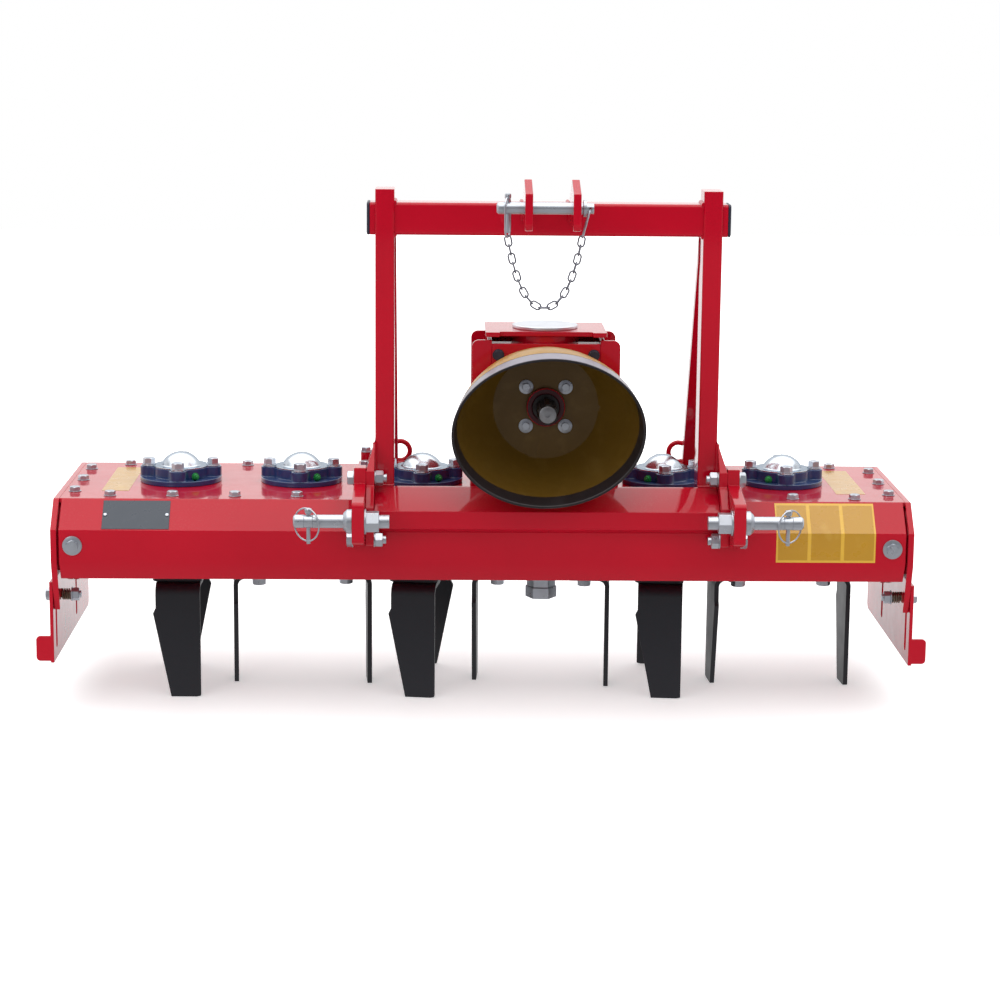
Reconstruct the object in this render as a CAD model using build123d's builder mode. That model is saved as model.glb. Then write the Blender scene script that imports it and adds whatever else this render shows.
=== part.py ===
from build123d import *
import math
import os

# Power harrow for a small tractor: a closed gear trough with six upright rotors,
# two knife tines on each, a three-point hitch frame and a driven input shaft.
# Millimetres. +X is to the right seen from the tractor, +Y points to the rear, +Z up.
# The floor is z = 0, where the tips of the tines stand.

# Overall places
link_pin_y = 294.0           # from the rotor row to the lower link pins
link_washer_d = 42.0
front_reach = link_pin_y + link_washer_d / 2
rear_reach = 230.0           # from the rotor row to the rear edge of the side plates
row_y = (front_reach - rear_reach) / 2
deck_z = 357.5               # top face of the trough lid
run_gap = 0.3                # clearance between faces that slide or turn
cut_over = 5.0               # how far every cutting solid runs past the face it cuts

# Rotors
rotor_pitch = 210.0
rotor_count = 6
rotor_numbers = range(1, rotor_count + 1)
rotor_x = {n: (n - (rotor_count + 1) / 2) * rotor_pitch for n in rotor_numbers}
drive_rotor = 4
hitch_x = rotor_x[drive_rotor]

# Trough: a folded tray under a flat bolted lid
trough_half = 708.0
trough_wall = 8.0
lid_half_width = 172.0
lid_thick = 8.0
shoulder_run = 45.0
shoulder_drop = 45.6
side_drop = 55.0
toe_run = 16.0
toe_drop = 31.0
lid_flange = 34.0
end_gap = 4.0
end_inset = 12.0
trough_height = shoulder_drop + side_drop + toe_drop
trough_bottom = deck_z - trough_height
shoulder_y = lid_half_width + shoulder_run
toe_y = shoulder_y - toe_run

# End plates with the ears that carry the side plates
end_thick = 10.0
end_inner = trough_half + end_gap
end_outer = end_inner + end_thick
ear_drop = 56.0
ear_width = 62.0
ear_front_y = 190.0
ear_rear_y = 40.0

# Side plates that slide up and down outside the end plates
side_thick = 6.0
side_front_y = 200.0
side_top_drop = 138.0
side_bottom_z = 80.0
side_corner = 14.0
lip_width = 24.0
lip_height = 43.0
lip_lift = 3.0
lip_corner = 7.0
slot_width = 14.0
slot_top_drop = 150.0
slot_length = 108.0
slot_front_y = 166.0
slot_rear_y = 71.0
side_bolt_d = 12.0
side_bolt_drop = 166.0
side_washer_d = 30.0
side_washer_thick = 2.5
side_head_d = 21.0
side_head_thick = 8.0
side_spring_d = 19.0
side_spring_length = 14.0
side_nut_d = 22.0
side_nut_thick = 9.0

# Upper bearing units on the lid
cap_flange_d = 141.0
cap_base = 9.0
cap_bolt_circle_d = 111.0
cap_lobe_d = 30.0
cap_body_d = 98.0
cap_body_top = 26.0
cap_spigot_d = 84.0
cap_bore_d = 52.0
cap_fillet = 9.0
cover_flange_d = 96.0
cover_thick = 2.0
cover_dome_d = 70.0
cover_dome_top = 51.0
cover_dome_fillet = 5.0
cover_ear_d = 24.0
cover_fillet = 7.0
plug_d = 9.0
plug_length = 8.0
plug_turn = 55.0
plug_rise = 13.5
plug_seat = 5.0

# Lower bearing units and the turning parts
low_flange = 150.0
low_thick = 11.5
low_corner = 24.0
low_spigot_d = 92.0
shaft_d = 40.0
shaft_top_rise = 10.0
hub_d = 92.0
hub_thick = 4.0
bar_width = 84.0
bar_half_length = 100.0
bar_thick = 12.0
bar_corner = 12.0
tine_thick = 8.0
tine_outer_r = 120.5
tine_bend = 19.0
tine_foot_inner_r = 50.0
tine_straight_edge = 41.0
tine_shank_edge = 35.0
tine_notch_edge = 39.5
tine_tip_edge = 10.0
tine_notch_z = 147.0
tine_notch_height = 9.0
tine_tip_cut = 7.0
tine_tip_lift = 1.5
end_nut_flat = 48.0
end_nut_thick = 20.0
castle_nut_flat = 44.0
castle_nut_thick = 26.0
rotor_phase = {1: 90.0, 2: 4.5, 3: 81.6, 4: -3.5, 5: 84.2, 6: 4.0}

low_bottom = trough_bottom - low_thick
hub_top = low_bottom - run_gap
bar_top = hub_top - hub_thick
bar_bottom = bar_top - bar_thick
foot_bottom = bar_bottom - tine_thick

# Hitch beam on the front of the lid
post_half = 272.0
post_width = 32.0
post_depth = 60.0
post_front = 160.0
post_wall = 5.0
post_corner = 4.0
beam_rise = 22.0
beam_front = 232.0
beam_nose_rise = -8.0
beam_nose_drop = 37.0
beam_fold_run = 20.0
beam_wall = 8.0
beam_half = post_half + post_width / 2

# Top tube, its end caps and the top link lugs
tube_size = 54.0
tube_wall = 5.0
tube_corner = 6.0
tube_mid_rise = 470.0
tube_overhang = 25.0
tube_half = post_half + tube_overhang
post_head = 22.0
post_rise = tube_mid_rise + tube_size / 2 + post_head
cap_thick = 5.0
lug_thick = 12.5
lug_half = 38.6
lug_front = 312.0
lug_foot_drop = 6.0          # from the middle of the tube down to the foot of the lugs
lug_heel_lift = 6.0
lug_height = 79.0
lug_front_drop = 19.0
lug_top_y = 246.0
lug_bottom_rise = tube_mid_rise - lug_foot_drop
lug_heel_rise = tube_mid_rise + tube_size / 2 + lug_heel_lift
lug_top_rise = lug_bottom_rise + lug_height
lug_front_top_rise = lug_top_rise - lug_front_drop
lug_round = 12.0
top_pin_d = 19.0
top_pin_y = 288.0
top_pin_lift = 29.6
top_pin_rise = tube_mid_rise + top_pin_lift
top_pin_left_reach = 90.0
top_pin_right_reach = 49.0
top_pin_taper = 3.0
top_flange_d = 27.0
top_flange_thick = 5.0
top_stub_d = 17.0
top_stub_length = 12.0
top_eye_d = 4.6

# Linch pin of the top link pin, and the safety chain that ties it to the pin's stub
top_linch_reach = 72.0
top_linch_d = 6.5
top_linch_hole_d = 7.1
top_linch_up = 15.0
top_linch_down = 40.0
top_linch_head_d = 10.0
top_linch_head_thick = 8.0
top_ring_length = 67.5
top_ring_width = 36.4
top_ring_turn = 74.0
chain_wire = 2.4
chain_count = 19
chain_pitch = 14.5
chain_width = 10.4
chain_room = 1.85            # slack that lets the corners of one link turn inside the next
chain_slope_share = 0.58     # how much steeper each link lies than the one below it
chain_loop_width = 24.8
chain_loop_corner = 5.0

# Hitch plates and lower link pins
gusset_thick = 14.0
gusset_front = 250.0
gusset_top_rise = 54.0
gusset_peak_rise = 100.0
gusset_step_y = 205.0
gusset_step_rise = 31.0
gusset_nose_rise = 1.0
gusset_bevel_rise = 46.0      # height of the bevel that thins the outside of the peak
gusset_drop = 64.0
gusset_corner = 6.0
pin_plate_thick = 20.0
pin_plate_margin = 21.0
pin_plate_front = link_pin_y + pin_plate_margin
pin_plate_heel_rise = 5.0
pin_plate_nose_rise = 21.0
pin_plate_step_rise = 34.0
pin_plate_nose_drop = 46.0
pin_plate_top_rise = 60.0
pin_plate_top_y = 205.0
pin_plate_back_y = 176.0
pin_plate_low_y = 224.0
pin_plate_corner = 9.0
link_pin_d = 22.0
link_pin_drop = 12.8
link_pin_length = 82.0
link_pin_chamfer = 3.0
link_relief_width = 14.0
link_relief_depth = 0.4
collar_d = 40.0
collar_thick = 14.4
collar_taper = 6.0
link_nut_flat = 32.0
link_nut_thick = 21.0
link_washer_thick = 3.0
link_stub = 20.0
linch_d = 7.0
linch_hole_d = 7.6
linch_reach = 57.0
linch_up = 17.0
linch_down = 26.0
linch_head_d = 11.0
linch_head_thick = 8.0
ring_wire = 3.0
ring_end_share = 0.95
ring_clear = 6.0
plate_in = post_half + post_width / 2
plate_mid = plate_in + gusset_thick
plate_out = plate_mid + pin_plate_thick
pin_z = deck_z - link_pin_drop

# Rear braces and lifting eyes
brace_inset = 4.0            # from the middle of the post to the middle of the brace
brace_half = post_half - brace_inset
brace_width = 28.0
brace_depth = 28.0
brace_top_drop = 18.0
brace_top_length = 56.0
brace_top_rise = tube_mid_rise - brace_top_drop
brace_foot_y = 128.0
brace_foot_thick = 8.0
brace_foot_length = 60.0
brace_foot_width = 64.0
brace_foot_shift = 26.0
eye_inset = 17.0
eye_half = brace_half - eye_inset
eye_wire = 9.0
eye_outer = 44.0
eye_y = 150.0
eye_rise = 28.0
eye_base_d = 20.0

# Gearbox, its support and the input shaft
gear_axis_rise = 149.8
support_half = 126.0
support_web_half = 92.0
support_wall = 8.0
support_front = 100.0
support_rear = 36.0
support_top_rise = 262.0
support_corner = 12.0
front_plate_thick = 10.0
front_plate_top_rise = 256.0
front_plate_low_rise = 40.0
ledge_depth = 30.0
ledge_thick = 6.0
crown_gap = 2.0
casting_half = 80.0
casting_rear = 34.0
casting_low_rise = 74.0
casting_top_rise = 222.0
casting_corner = 16.0
rear_wall_top_rise = 260.0    # raised rear wall of the casting, under the top plate
rear_wall_thick = 18.0
neck_d = 150.0
neck_flange_d = 176.0
neck_flange_thick = 14.0
crown_d = 116.0
crown_top_rise = 268.0
cover_half = 103.0
cover_depth = 150.0
top_plate_thick = 8.0
top_plate_tab = 24.0
top_plate_notch_depth = 12.0
top_plate_corner = 6.0
top_cap_d = 112.0
top_cap_thick = 6.0
snout_d = 65.0
snout_bore_d = 46.0
snout_length = 18.0
input_d = 34.9
input_root_d = 29.8
spline_count = 6
spline_width = 8.6
input_front = 196.0
input_length = 92.0
input_hole_d = 11.0
input_hole_depth = 14.0

# Guard around the input shaft
guard_disc_half = 93.0
guard_disc_thick = 4.0
guard_wall = 3.5
guard_waist_half = 130.0
guard_waist_high = 111.0
guard_waist_y = 150.0
guard_waist_rise = 147.0
rim_half = 156.0
rim_high = 121.5
rim_y = 221.0
rim_rise = 134.5
mouth_half = 161.0
mouth_high = 123.5
mouth_y = 255.0
mouth_rise = 127.5
mouth_tilt = 7.0
mouth_turn = 4.0             # how far the long axis of the mouth is turned from level
lip_ring_wall = 5.0
gear_z = deck_z + gear_axis_rise

pieces = {}


# Upright plane across the machine's length: local axes are Y and Z
def plane_yz(x):
    return Plane.YZ.offset(x)


# Upright plane along the machine's length: local axes are X and Z, facing forward
def plane_xz(y):
    return Plane.XZ.offset(-y)


def plane_xy(z):
    return Plane.XY.offset(z)


# A point of a side view, given as reach in front of the rotor row and rise over the lid
def side_point(ahead, rise):
    return (row_y - ahead, deck_z + rise)


def side_points(pairs):
    return [side_point(ahead, rise) for ahead, rise in pairs]


def keep(name, built):
    built.part.label = name
    pieces[name] = built.part


# Half outline of the trough from the lid's edge down to the bottom
trough_half_outline = [
    (lid_half_width, 0),
    (shoulder_y, -shoulder_drop),
    (shoulder_y, -shoulder_drop - side_drop),
    (toe_y, -trough_height),
]
trough_outline = side_points(trough_half_outline)
trough_outline += side_points([(-ahead, rise) for ahead, rise in reversed(trough_half_outline)])

with BuildPart() as trough_body:
    with BuildSketch(plane_yz(-trough_half)):
        with BuildLine():
            Polyline(*trough_outline, close=True)
        make_face()
    extrude(amount=2 * trough_half)
    with BuildSketch(plane_yz(-end_inner)):
        with BuildLine():
            Polyline(*trough_outline, close=True)
        make_face()
        offset(amount=-end_inset, mode=Mode.REPLACE)
    extrude(amount=2 * end_inner)
    with BuildSketch(plane_yz(-trough_half + trough_wall)):
        with BuildLine():
            Polyline(*trough_outline, close=True)
        make_face()
        offset(amount=-trough_wall, mode=Mode.REPLACE)
    extrude(amount=2 * (trough_half - trough_wall), mode=Mode.SUBTRACT)
    with BuildSketch(plane_xy(deck_z)):
        with Locations((0, row_y)):
            Rectangle(2 * (end_inner + cut_over), 2 * lid_half_width)
    extrude(amount=-lid_thick, mode=Mode.SUBTRACT)
    with BuildSketch(plane_xy(deck_z - lid_thick)):
        with Locations((0, row_y)):
            Rectangle(2 * (trough_half - lid_flange), 2 * (lid_half_width - lid_flange))
    extrude(amount=-trough_wall - cut_over, mode=Mode.SUBTRACT)
    with BuildSketch(plane_xy(trough_bottom)):
        with Locations([(x, row_y) for x in rotor_x.values()]):
            Circle(low_spigot_d / 2)
    extrude(amount=trough_wall + cut_over, mode=Mode.SUBTRACT)
keep("trough_body", trough_body)

with BuildPart() as trough_lid:
    with BuildSketch(plane_xy(deck_z - lid_thick)):
        with Locations((0, row_y)):
            Rectangle(2 * end_inner, 2 * lid_half_width)
        with Locations([(x, row_y) for n, x in rotor_x.items()]):
            Circle(cap_spigot_d / 2, mode=Mode.SUBTRACT)
    extrude(amount=lid_thick)
keep("trough_lid", trough_lid)

# End plates: the trough's outline with two ears that hang below it
ear_low = -trough_height - ear_drop
side_bolt_places = [
    side_point(slot_front_y, -side_bolt_drop),
    side_point(-slot_rear_y, -side_bolt_drop),
]
for side, side_name in ((-1, "left"), (1, "right")):
    with BuildPart() as end_plate:
        with BuildSketch(plane_yz(side * (end_inner + end_thick / 2))):
            with BuildLine():
                Polyline(*trough_outline, close=True)
            make_face()
            with BuildLine():
                Polyline(
                    *side_points([
                        (shoulder_y, -shoulder_drop - side_drop),
                        (ear_front_y, ear_low),
                        (ear_front_y - ear_width, ear_low),
                        (ear_front_y - ear_width, -trough_height + toe_drop),
                    ]),
                    close=True,
                )
            make_face()
            with BuildLine():
                Polyline(
                    *side_points([
                        (-ear_rear_y, -trough_height + toe_drop),
                        (-ear_rear_y, ear_low),
                        (-ear_rear_y - ear_width, ear_low),
                        (-ear_rear_y - ear_width, -trough_height + toe_drop),
                    ]),
                    close=True,
                )
            make_face()
            with Locations(side_bolt_places):
                Circle(side_bolt_d / 2 + run_gap, mode=Mode.SUBTRACT)
        extrude(amount=end_thick / 2, both=True)
    keep("end_plate_" + side_name, end_plate)

# Side plates with two upright slots and a lip bent outward at the front foot
side_inner = end_outer + run_gap
side_outer = side_inner + side_thick
side_bottom_drop = deck_z - side_bottom_z
slot_mid_drop = slot_top_drop + slot_length / 2
lip_middle_x = side_outer + (lip_width - side_thick) / 2
for side, side_name in ((-1, "left"), (1, "right")):
    with BuildPart() as side_plate:
        with BuildSketch(plane_yz(side * (side_inner + side_thick / 2))):
            with BuildLine():
                Polyline(
                    *side_points([
                        (side_front_y, -side_top_drop),
                        (side_front_y, -side_bottom_drop),
                        (-rear_reach, -side_bottom_drop),
                        (-rear_reach, -side_top_drop),
                    ]),
                    close=True,
                )
            face = make_face()
            fillet(face.vertices().group_by(Axis.X)[-1], radius=side_corner)
            with Locations(
                side_point(slot_front_y, -slot_mid_drop),
                side_point(-slot_rear_y, -slot_mid_drop),
            ):
                SlotOverall(slot_length, slot_width, rotation=90, mode=Mode.SUBTRACT)
        extrude(amount=side_thick / 2, both=True)
        with BuildSketch(plane_xz(row_y - side_front_y + side_thick)) as lip:
            with Locations((side * lip_middle_x, side_bottom_z + lip_lift + lip_height / 2)):
                Rectangle(lip_width + side_thick, lip_height)
            fillet(lip.vertices().group_by(Axis.X)[-1 if side > 0 else 0], radius=lip_corner)
        extrude(amount=side_thick)
    keep("side_plate_" + side_name, side_plate)

    with BuildPart() as side_bolts:
        for bolt_y, bolt_z in side_bolt_places:
            stations = [
                (side_outer + side_washer_thick + side_head_thick, -side_head_thick, side_head_d),
                (side_outer + side_washer_thick, -side_washer_thick, side_washer_d),
                (side_outer, end_inner - side_outer, side_bolt_d),
                (end_inner, -side_spring_length, side_spring_d),
                (end_inner - side_spring_length, -side_nut_thick, side_nut_d),
            ]
            for start, run, width in stations:
                with BuildSketch(plane_yz(side * start)):
                    with Locations((bolt_y, bolt_z)):
                        Circle(width / 2)
                extrude(amount=side * run)
    keep("side_plate_bolts_" + side_name, side_bolts)

# Upper bearing units: cast flange with four bolt lobes, spigot through the lid
cap_numbers = [n for n in rotor_numbers if n != drive_rotor]
cap_places = [(rotor_x[n], row_y) for n in cap_numbers]
plug_planes = []
for n in cap_numbers:
    plug_side = 1 if n < drive_rotor else -1
    plug_angle = math.radians(-90 + plug_side * (90 - plug_turn))
    plug_aim = Vector(math.cos(plug_angle), math.sin(plug_angle), 0)
    plug_start = Vector(rotor_x[n], row_y, deck_z + plug_rise) + plug_aim * (cap_body_d / 2 - plug_seat)
    plug_planes.append(Plane(plug_start, z_dir=plug_aim))
with BuildPart() as bearing_housings:
    with BuildSketch(plane_xy(deck_z)):
        with Locations(cap_places):
            Circle(cap_flange_d / 2)
    extrude(amount=cap_base)
    for x, y in cap_places:
        with BuildSketch(plane_xy(deck_z)) as cap_outline:
            with Locations((x, y)):
                Circle(cap_body_d / 2)
                with PolarLocations(cap_bolt_circle_d / 2, 4):
                    Circle(cap_lobe_d / 2)
            fillet(cap_outline.vertices(), radius=cap_fillet)
        extrude(amount=cap_body_top)
    with BuildSketch(plane_xy(deck_z)):
        with Locations(cap_places):
            Circle(cap_spigot_d / 2)
    extrude(amount=-lid_thick - trough_wall)
    with BuildSketch(plane_xy(deck_z + cap_body_top)):
        with Locations(cap_places):
            Circle(cap_bore_d / 2)
    extrude(amount=-cap_body_top - lid_thick - trough_wall, mode=Mode.SUBTRACT)
    for plug_plane in plug_planes:
        with BuildSketch(plug_plane):
            Circle(plug_d / 2)
        extrude(amount=plug_seat + plug_length, mode=Mode.SUBTRACT)
keep("bearing_housings", bearing_housings)

# Pressed covers: a dome in a flat skirt that reaches out to the four bolts
cover_base = deck_z + cap_body_top
dome_r = cover_dome_d / 2
dome_rise = cover_dome_top - cap_body_top
cover_body_r = cover_flange_d / 2
with BuildPart() as bearing_covers:
    for x, y in cap_places:
        with BuildSketch(Plane((x, y, cover_base), x_dir=(1, 0, 0), z_dir=(0, -1, 0))):
            with BuildLine():
                dome = TangentArc((0, dome_rise), (dome_r, cover_thick), tangent=(1, 0))
                Polyline(dome @ 1, (cover_body_r, cover_thick), (cover_body_r, 0), (0, 0), dome @ 0)
            face = make_face()
            fillet(face.vertices().group_by(Axis.X)[1], radius=cover_dome_fillet)
        revolve(axis=Axis((x, y, cover_base), (0, 0, 1)))
    for x, y in cap_places:
        with BuildSketch(plane_xy(cover_base)) as cover_outline:
            with Locations((x, y)):
                Circle(cover_body_r)
                with PolarLocations(cap_bolt_circle_d / 2, 4):
                    Circle(cover_ear_d / 2)
            fillet(cover_outline.vertices(), radius=cover_fillet)
        extrude(amount=cover_thick)
keep("bearing_covers", bearing_covers)

# Grease plugs seated in bores of the castings
with BuildPart() as grease_plugs:
    for plug_plane in plug_planes:
        with BuildSketch(plug_plane):
            Circle(plug_d / 2)
        extrude(amount=plug_seat + plug_length)
keep("grease_plugs", grease_plugs)

# Lower bearing flanges under the trough
rotor_places = [(x, row_y) for x in rotor_x.values()]
with BuildPart() as lower_bearings:
    with BuildSketch(plane_xy(low_bottom)):
        with Locations(rotor_places):
            RectangleRounded(low_flange, low_flange, low_corner)
    extrude(amount=low_thick)
    with BuildSketch(plane_xy(trough_bottom)):
        with Locations(rotor_places):
            Circle(low_spigot_d / 2)
    extrude(amount=trough_wall)
    with BuildSketch(plane_xy(low_bottom)):
        with Locations(rotor_places):
            Circle(shaft_d / 2 + run_gap)
    extrude(amount=low_thick + trough_wall, mode=Mode.SUBTRACT)
keep("lower_bearings", lower_bearings)

# Rotors: an upright shaft, a hub and a bar that the tine feet bolt under
for n in rotor_numbers:
    turn = rotor_phase[n]
    rotor_plane = Plane((rotor_x[n], row_y, bar_bottom), z_dir=(0, 0, 1)).rotated((0, 0, turn))
    with BuildPart() as rotor_hub:
        with BuildSketch(rotor_plane):
            RectangleRounded(2 * bar_half_length, bar_width, bar_corner)
        extrude(amount=bar_thick)
        with BuildSketch(rotor_plane):
            Circle(hub_d / 2)
        extrude(amount=bar_thick + hub_thick)
        with BuildSketch(rotor_plane):
            Circle(shaft_d / 2)
        shaft_end = -run_gap if n == drive_rotor else shaft_top_rise
        extrude(amount=deck_z - bar_bottom + shaft_end)
        if n == drive_rotor:
            with BuildSketch(rotor_plane):
                RegularPolygon(castle_nut_flat / 2, 6, major_radius=False)
            extrude(amount=-castle_nut_thick)
            with BuildSketch(rotor_plane.offset(-castle_nut_thick)):
                RegularPolygon(end_nut_flat / 2, 6, major_radius=False)
            extrude(amount=-end_nut_thick)
    keep("rotor_%d" % n, rotor_hub)

# Knife tines: flat bar bent to an L, foot under the rotor bar, blade down to the floor
blade_top = foot_bottom + tine_thick
blade_in = tine_outer_r - tine_thick
for n in rotor_numbers:
    hand = 1 if n % 2 else -1
    rotor_frame = Plane((rotor_x[n], row_y, 0)).rotated((0, 0, rotor_phase[n]))
    with BuildPart() as blade_outline:
        for half in (1, -1):
            across = rotor_frame.y_dir * (hand * half)
            outward = rotor_frame.x_dir * half
            facing = across.cross(Vector(0, 0, 1))
            with BuildSketch(Plane(rotor_frame.origin, x_dir=across, z_dir=facing)):
                with BuildLine():
                    Polyline(
                        (tine_straight_edge, blade_top + cut_over),
                        (tine_straight_edge, tine_tip_lift),
                        (tine_straight_edge - tine_tip_cut, 0),
                        (-tine_tip_edge, 0),
                        (-tine_notch_edge, tine_notch_z),
                        (-tine_shank_edge, tine_notch_z + tine_notch_height),
                        (-tine_shank_edge, blade_top + cut_over),
                        close=True,
                    )
                make_face()
            extrude(amount=(tine_outer_r + cut_over) * facing.dot(outward))
    with BuildPart() as tines:
        for half in (1, -1):
            outward = rotor_frame.x_dir * half
            with BuildSketch(Plane(rotor_frame.origin, x_dir=outward, z_dir=outward.cross(Vector(0, 0, 1)))):
                with BuildLine():
                    foot = Line((tine_foot_inner_r, blade_top), (tine_outer_r - tine_bend, blade_top))
                    bend = TangentArc(foot @ 1, (tine_outer_r, blade_top - tine_bend), tangent=(1, 0))
                    back = Polyline(bend @ 1, (tine_outer_r, 0), (blade_in, 0), (blade_in, blade_top - tine_bend))
                    inner = TangentArc(back @ 1, (tine_outer_r - tine_bend, foot_bottom), tangent=(0, 1))
                    Polyline(inner @ 1, (tine_foot_inner_r, foot_bottom), foot @ 0)
                make_face()
            extrude(amount=tine_straight_edge + tine_notch_edge, both=True)
        add(blade_outline.part, mode=Mode.INTERSECT)
    keep("tines_%d" % n, tines)

# Hitch beam: a folded box in front of the posts, its nose over the trough's shoulder
beam_outline = side_points([
    (post_front, 0),
    (post_front, beam_rise),
    (post_front + beam_fold_run, beam_rise),
    (beam_front, beam_nose_rise),
    (beam_front, -beam_nose_drop),
    (shoulder_y, -shoulder_drop),
    (lid_half_width, 0),
])
with BuildPart() as hitch_beam:
    with BuildSketch(plane_yz(hitch_x - beam_half)):
        with BuildLine():
            Polyline(*beam_outline, close=True)
        make_face()
    extrude(amount=2 * beam_half)
    with BuildSketch(plane_yz(hitch_x - beam_half - cut_over)):
        with BuildLine():
            Polyline(*beam_outline, close=True)
        make_face()
        offset(amount=-beam_wall, mode=Mode.REPLACE)
    extrude(amount=2 * (beam_half + cut_over), mode=Mode.SUBTRACT)
keep("hitch_beam", hitch_beam)

# Posts: box section, closed on top, notched at the back for the top tube
tube_y = row_y - post_front + post_wall + tube_size / 2
tube_z = deck_z + tube_mid_rise
post_y = row_y - post_front + post_depth / 2
for side, side_name in ((-1, "left"), (1, "right")):
    with BuildPart() as post:
        with BuildSketch(plane_xy(deck_z)):
            with Locations((hitch_x + side * post_half, post_y)):
                RectangleRounded(post_width, post_depth, post_corner)
        extrude(amount=post_rise)
        with BuildSketch(plane_xy(deck_z)):
            with Locations((hitch_x + side * post_half, post_y)):
                Rectangle(post_width - 2 * post_wall, post_depth - 2 * post_wall)
        extrude(amount=post_rise - post_wall, mode=Mode.SUBTRACT)
        with BuildSketch(plane_yz(hitch_x + side * post_half)):
            with Locations((tube_y + cut_over / 2, tube_z)):
                Rectangle(tube_size + cut_over, tube_size)
        extrude(amount=post_width, both=True, mode=Mode.SUBTRACT)
    keep("post_" + side_name, post)

with BuildPart() as top_tube:
    with BuildSketch(plane_yz(hitch_x)):
        with Locations((tube_y, tube_z)):
            RectangleRounded(tube_size, tube_size, tube_corner)
            RectangleRounded(
                tube_size - 2 * tube_wall,
                tube_size - 2 * tube_wall,
                tube_corner - tube_wall,
                mode=Mode.SUBTRACT,
            )
    extrude(amount=tube_half, both=True)
keep("top_tube", top_tube)

with BuildPart() as tube_caps:
    for side in (-1, 1):
        with BuildSketch(plane_yz(hitch_x + side * tube_half)):
            with Locations((tube_y, tube_z)):
                RectangleRounded(tube_size, tube_size, tube_corner)
        extrude(amount=side * cap_thick)
keep("tube_caps", tube_caps)

# Top link lugs: two plates welded to the front and top of the tube
tube_front = post_front - post_wall
with BuildPart() as top_lugs:
    for side in (-1, 1):
        with BuildSketch(plane_yz(hitch_x + side * lug_half)):
            with BuildLine():
                Polyline(
                    *side_points([
                        (tube_front, lug_bottom_rise),
                        (tube_front, lug_heel_rise),
                        (lug_top_y, lug_top_rise),
                        (lug_front, lug_front_top_rise),
                        (lug_front, lug_bottom_rise),
                    ]),
                    close=True,
                )
            face = make_face()
            fillet(face.vertices().group_by(Axis.Y)[0], radius=lug_round)
            with Locations(side_point(top_pin_y, top_pin_rise)):
                Circle(top_pin_d / 2 + run_gap, mode=Mode.SUBTRACT)
        extrude(amount=lug_thick / 2, both=True)
keep("top_link_lugs", top_lugs)

# Top link pin: a flange against the right lug, then a drilled stub that holds the chain
top_pin_centre = side_point(top_pin_y, top_pin_rise)
top_pin_row = row_y - top_pin_y
top_pin_z = deck_z + top_pin_rise
stub_x = hitch_x + top_pin_right_reach + top_flange_thick
stub_eye_x = stub_x + top_stub_length / 2
top_linch_x = hitch_x - top_linch_reach
with BuildPart() as top_pin:
    with BuildSketch(plane_yz(hitch_x - top_pin_left_reach)):
        with Locations(top_pin_centre):
            Circle(top_pin_d / 2)
    extrude(amount=top_pin_left_reach + top_pin_right_reach)
    chamfer(top_pin.edges().group_by(Axis.X)[0], length=top_pin_taper)
    with BuildSketch(plane_yz(stub_x)):
        with Locations(top_pin_centre):
            Circle(top_flange_d / 2)
    extrude(amount=-top_flange_thick)
    with BuildSketch(plane_yz(stub_x)):
        with Locations(top_pin_centre):
            Circle(top_stub_d / 2)
    extrude(amount=top_stub_length)
    with BuildSketch(plane_xz(top_pin_row)):
        with Locations((stub_eye_x, top_pin_z)):
            Circle(top_eye_d / 2)
    extrude(amount=top_stub_d, both=True, mode=Mode.SUBTRACT)
    with BuildSketch(plane_xy(top_pin_z)):
        with Locations((top_linch_x, top_pin_row)):
            Circle(top_linch_hole_d / 2)
    extrude(amount=top_pin_d, both=True, mode=Mode.SUBTRACT)
keep("top_link_pin", top_pin)

# Top linch pin, with its ring closed round the top link pin
ring_low_z = top_pin_z + top_linch_up + top_linch_head_thick / 2 + chain_wire / 2 - top_ring_length
ring_middle = (top_linch_x, top_pin_row, ring_low_z - chain_wire / 2 + top_ring_length / 2)
ring_across = Vector(math.cos(math.radians(top_ring_turn)), math.sin(math.radians(top_ring_turn)), 0)
with BuildPart() as top_linch:
    with BuildSketch(plane_xy(top_pin_z + top_linch_up)):
        with Locations((top_linch_x, top_pin_row)):
            Circle(top_linch_d / 2)
    extrude(amount=-top_linch_up - top_linch_down)
    with BuildSketch(plane_xy(top_pin_z + top_linch_up)):
        with Locations((top_linch_x, top_pin_row)):
            Circle(top_linch_head_d / 2)
    extrude(amount=top_linch_head_thick)
    with BuildSketch(Plane(ring_middle, x_dir=(0, 0, 1), z_dir=ring_across.cross(Vector(0, 0, 1)))):
        SlotOverall(top_ring_length, top_ring_width)
        SlotOverall(top_ring_length - 2 * chain_wire, top_ring_width - 2 * chain_wire, mode=Mode.SUBTRACT)
    extrude(amount=chain_wire / 2, both=True)
keep("top_linch", top_linch)

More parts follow.
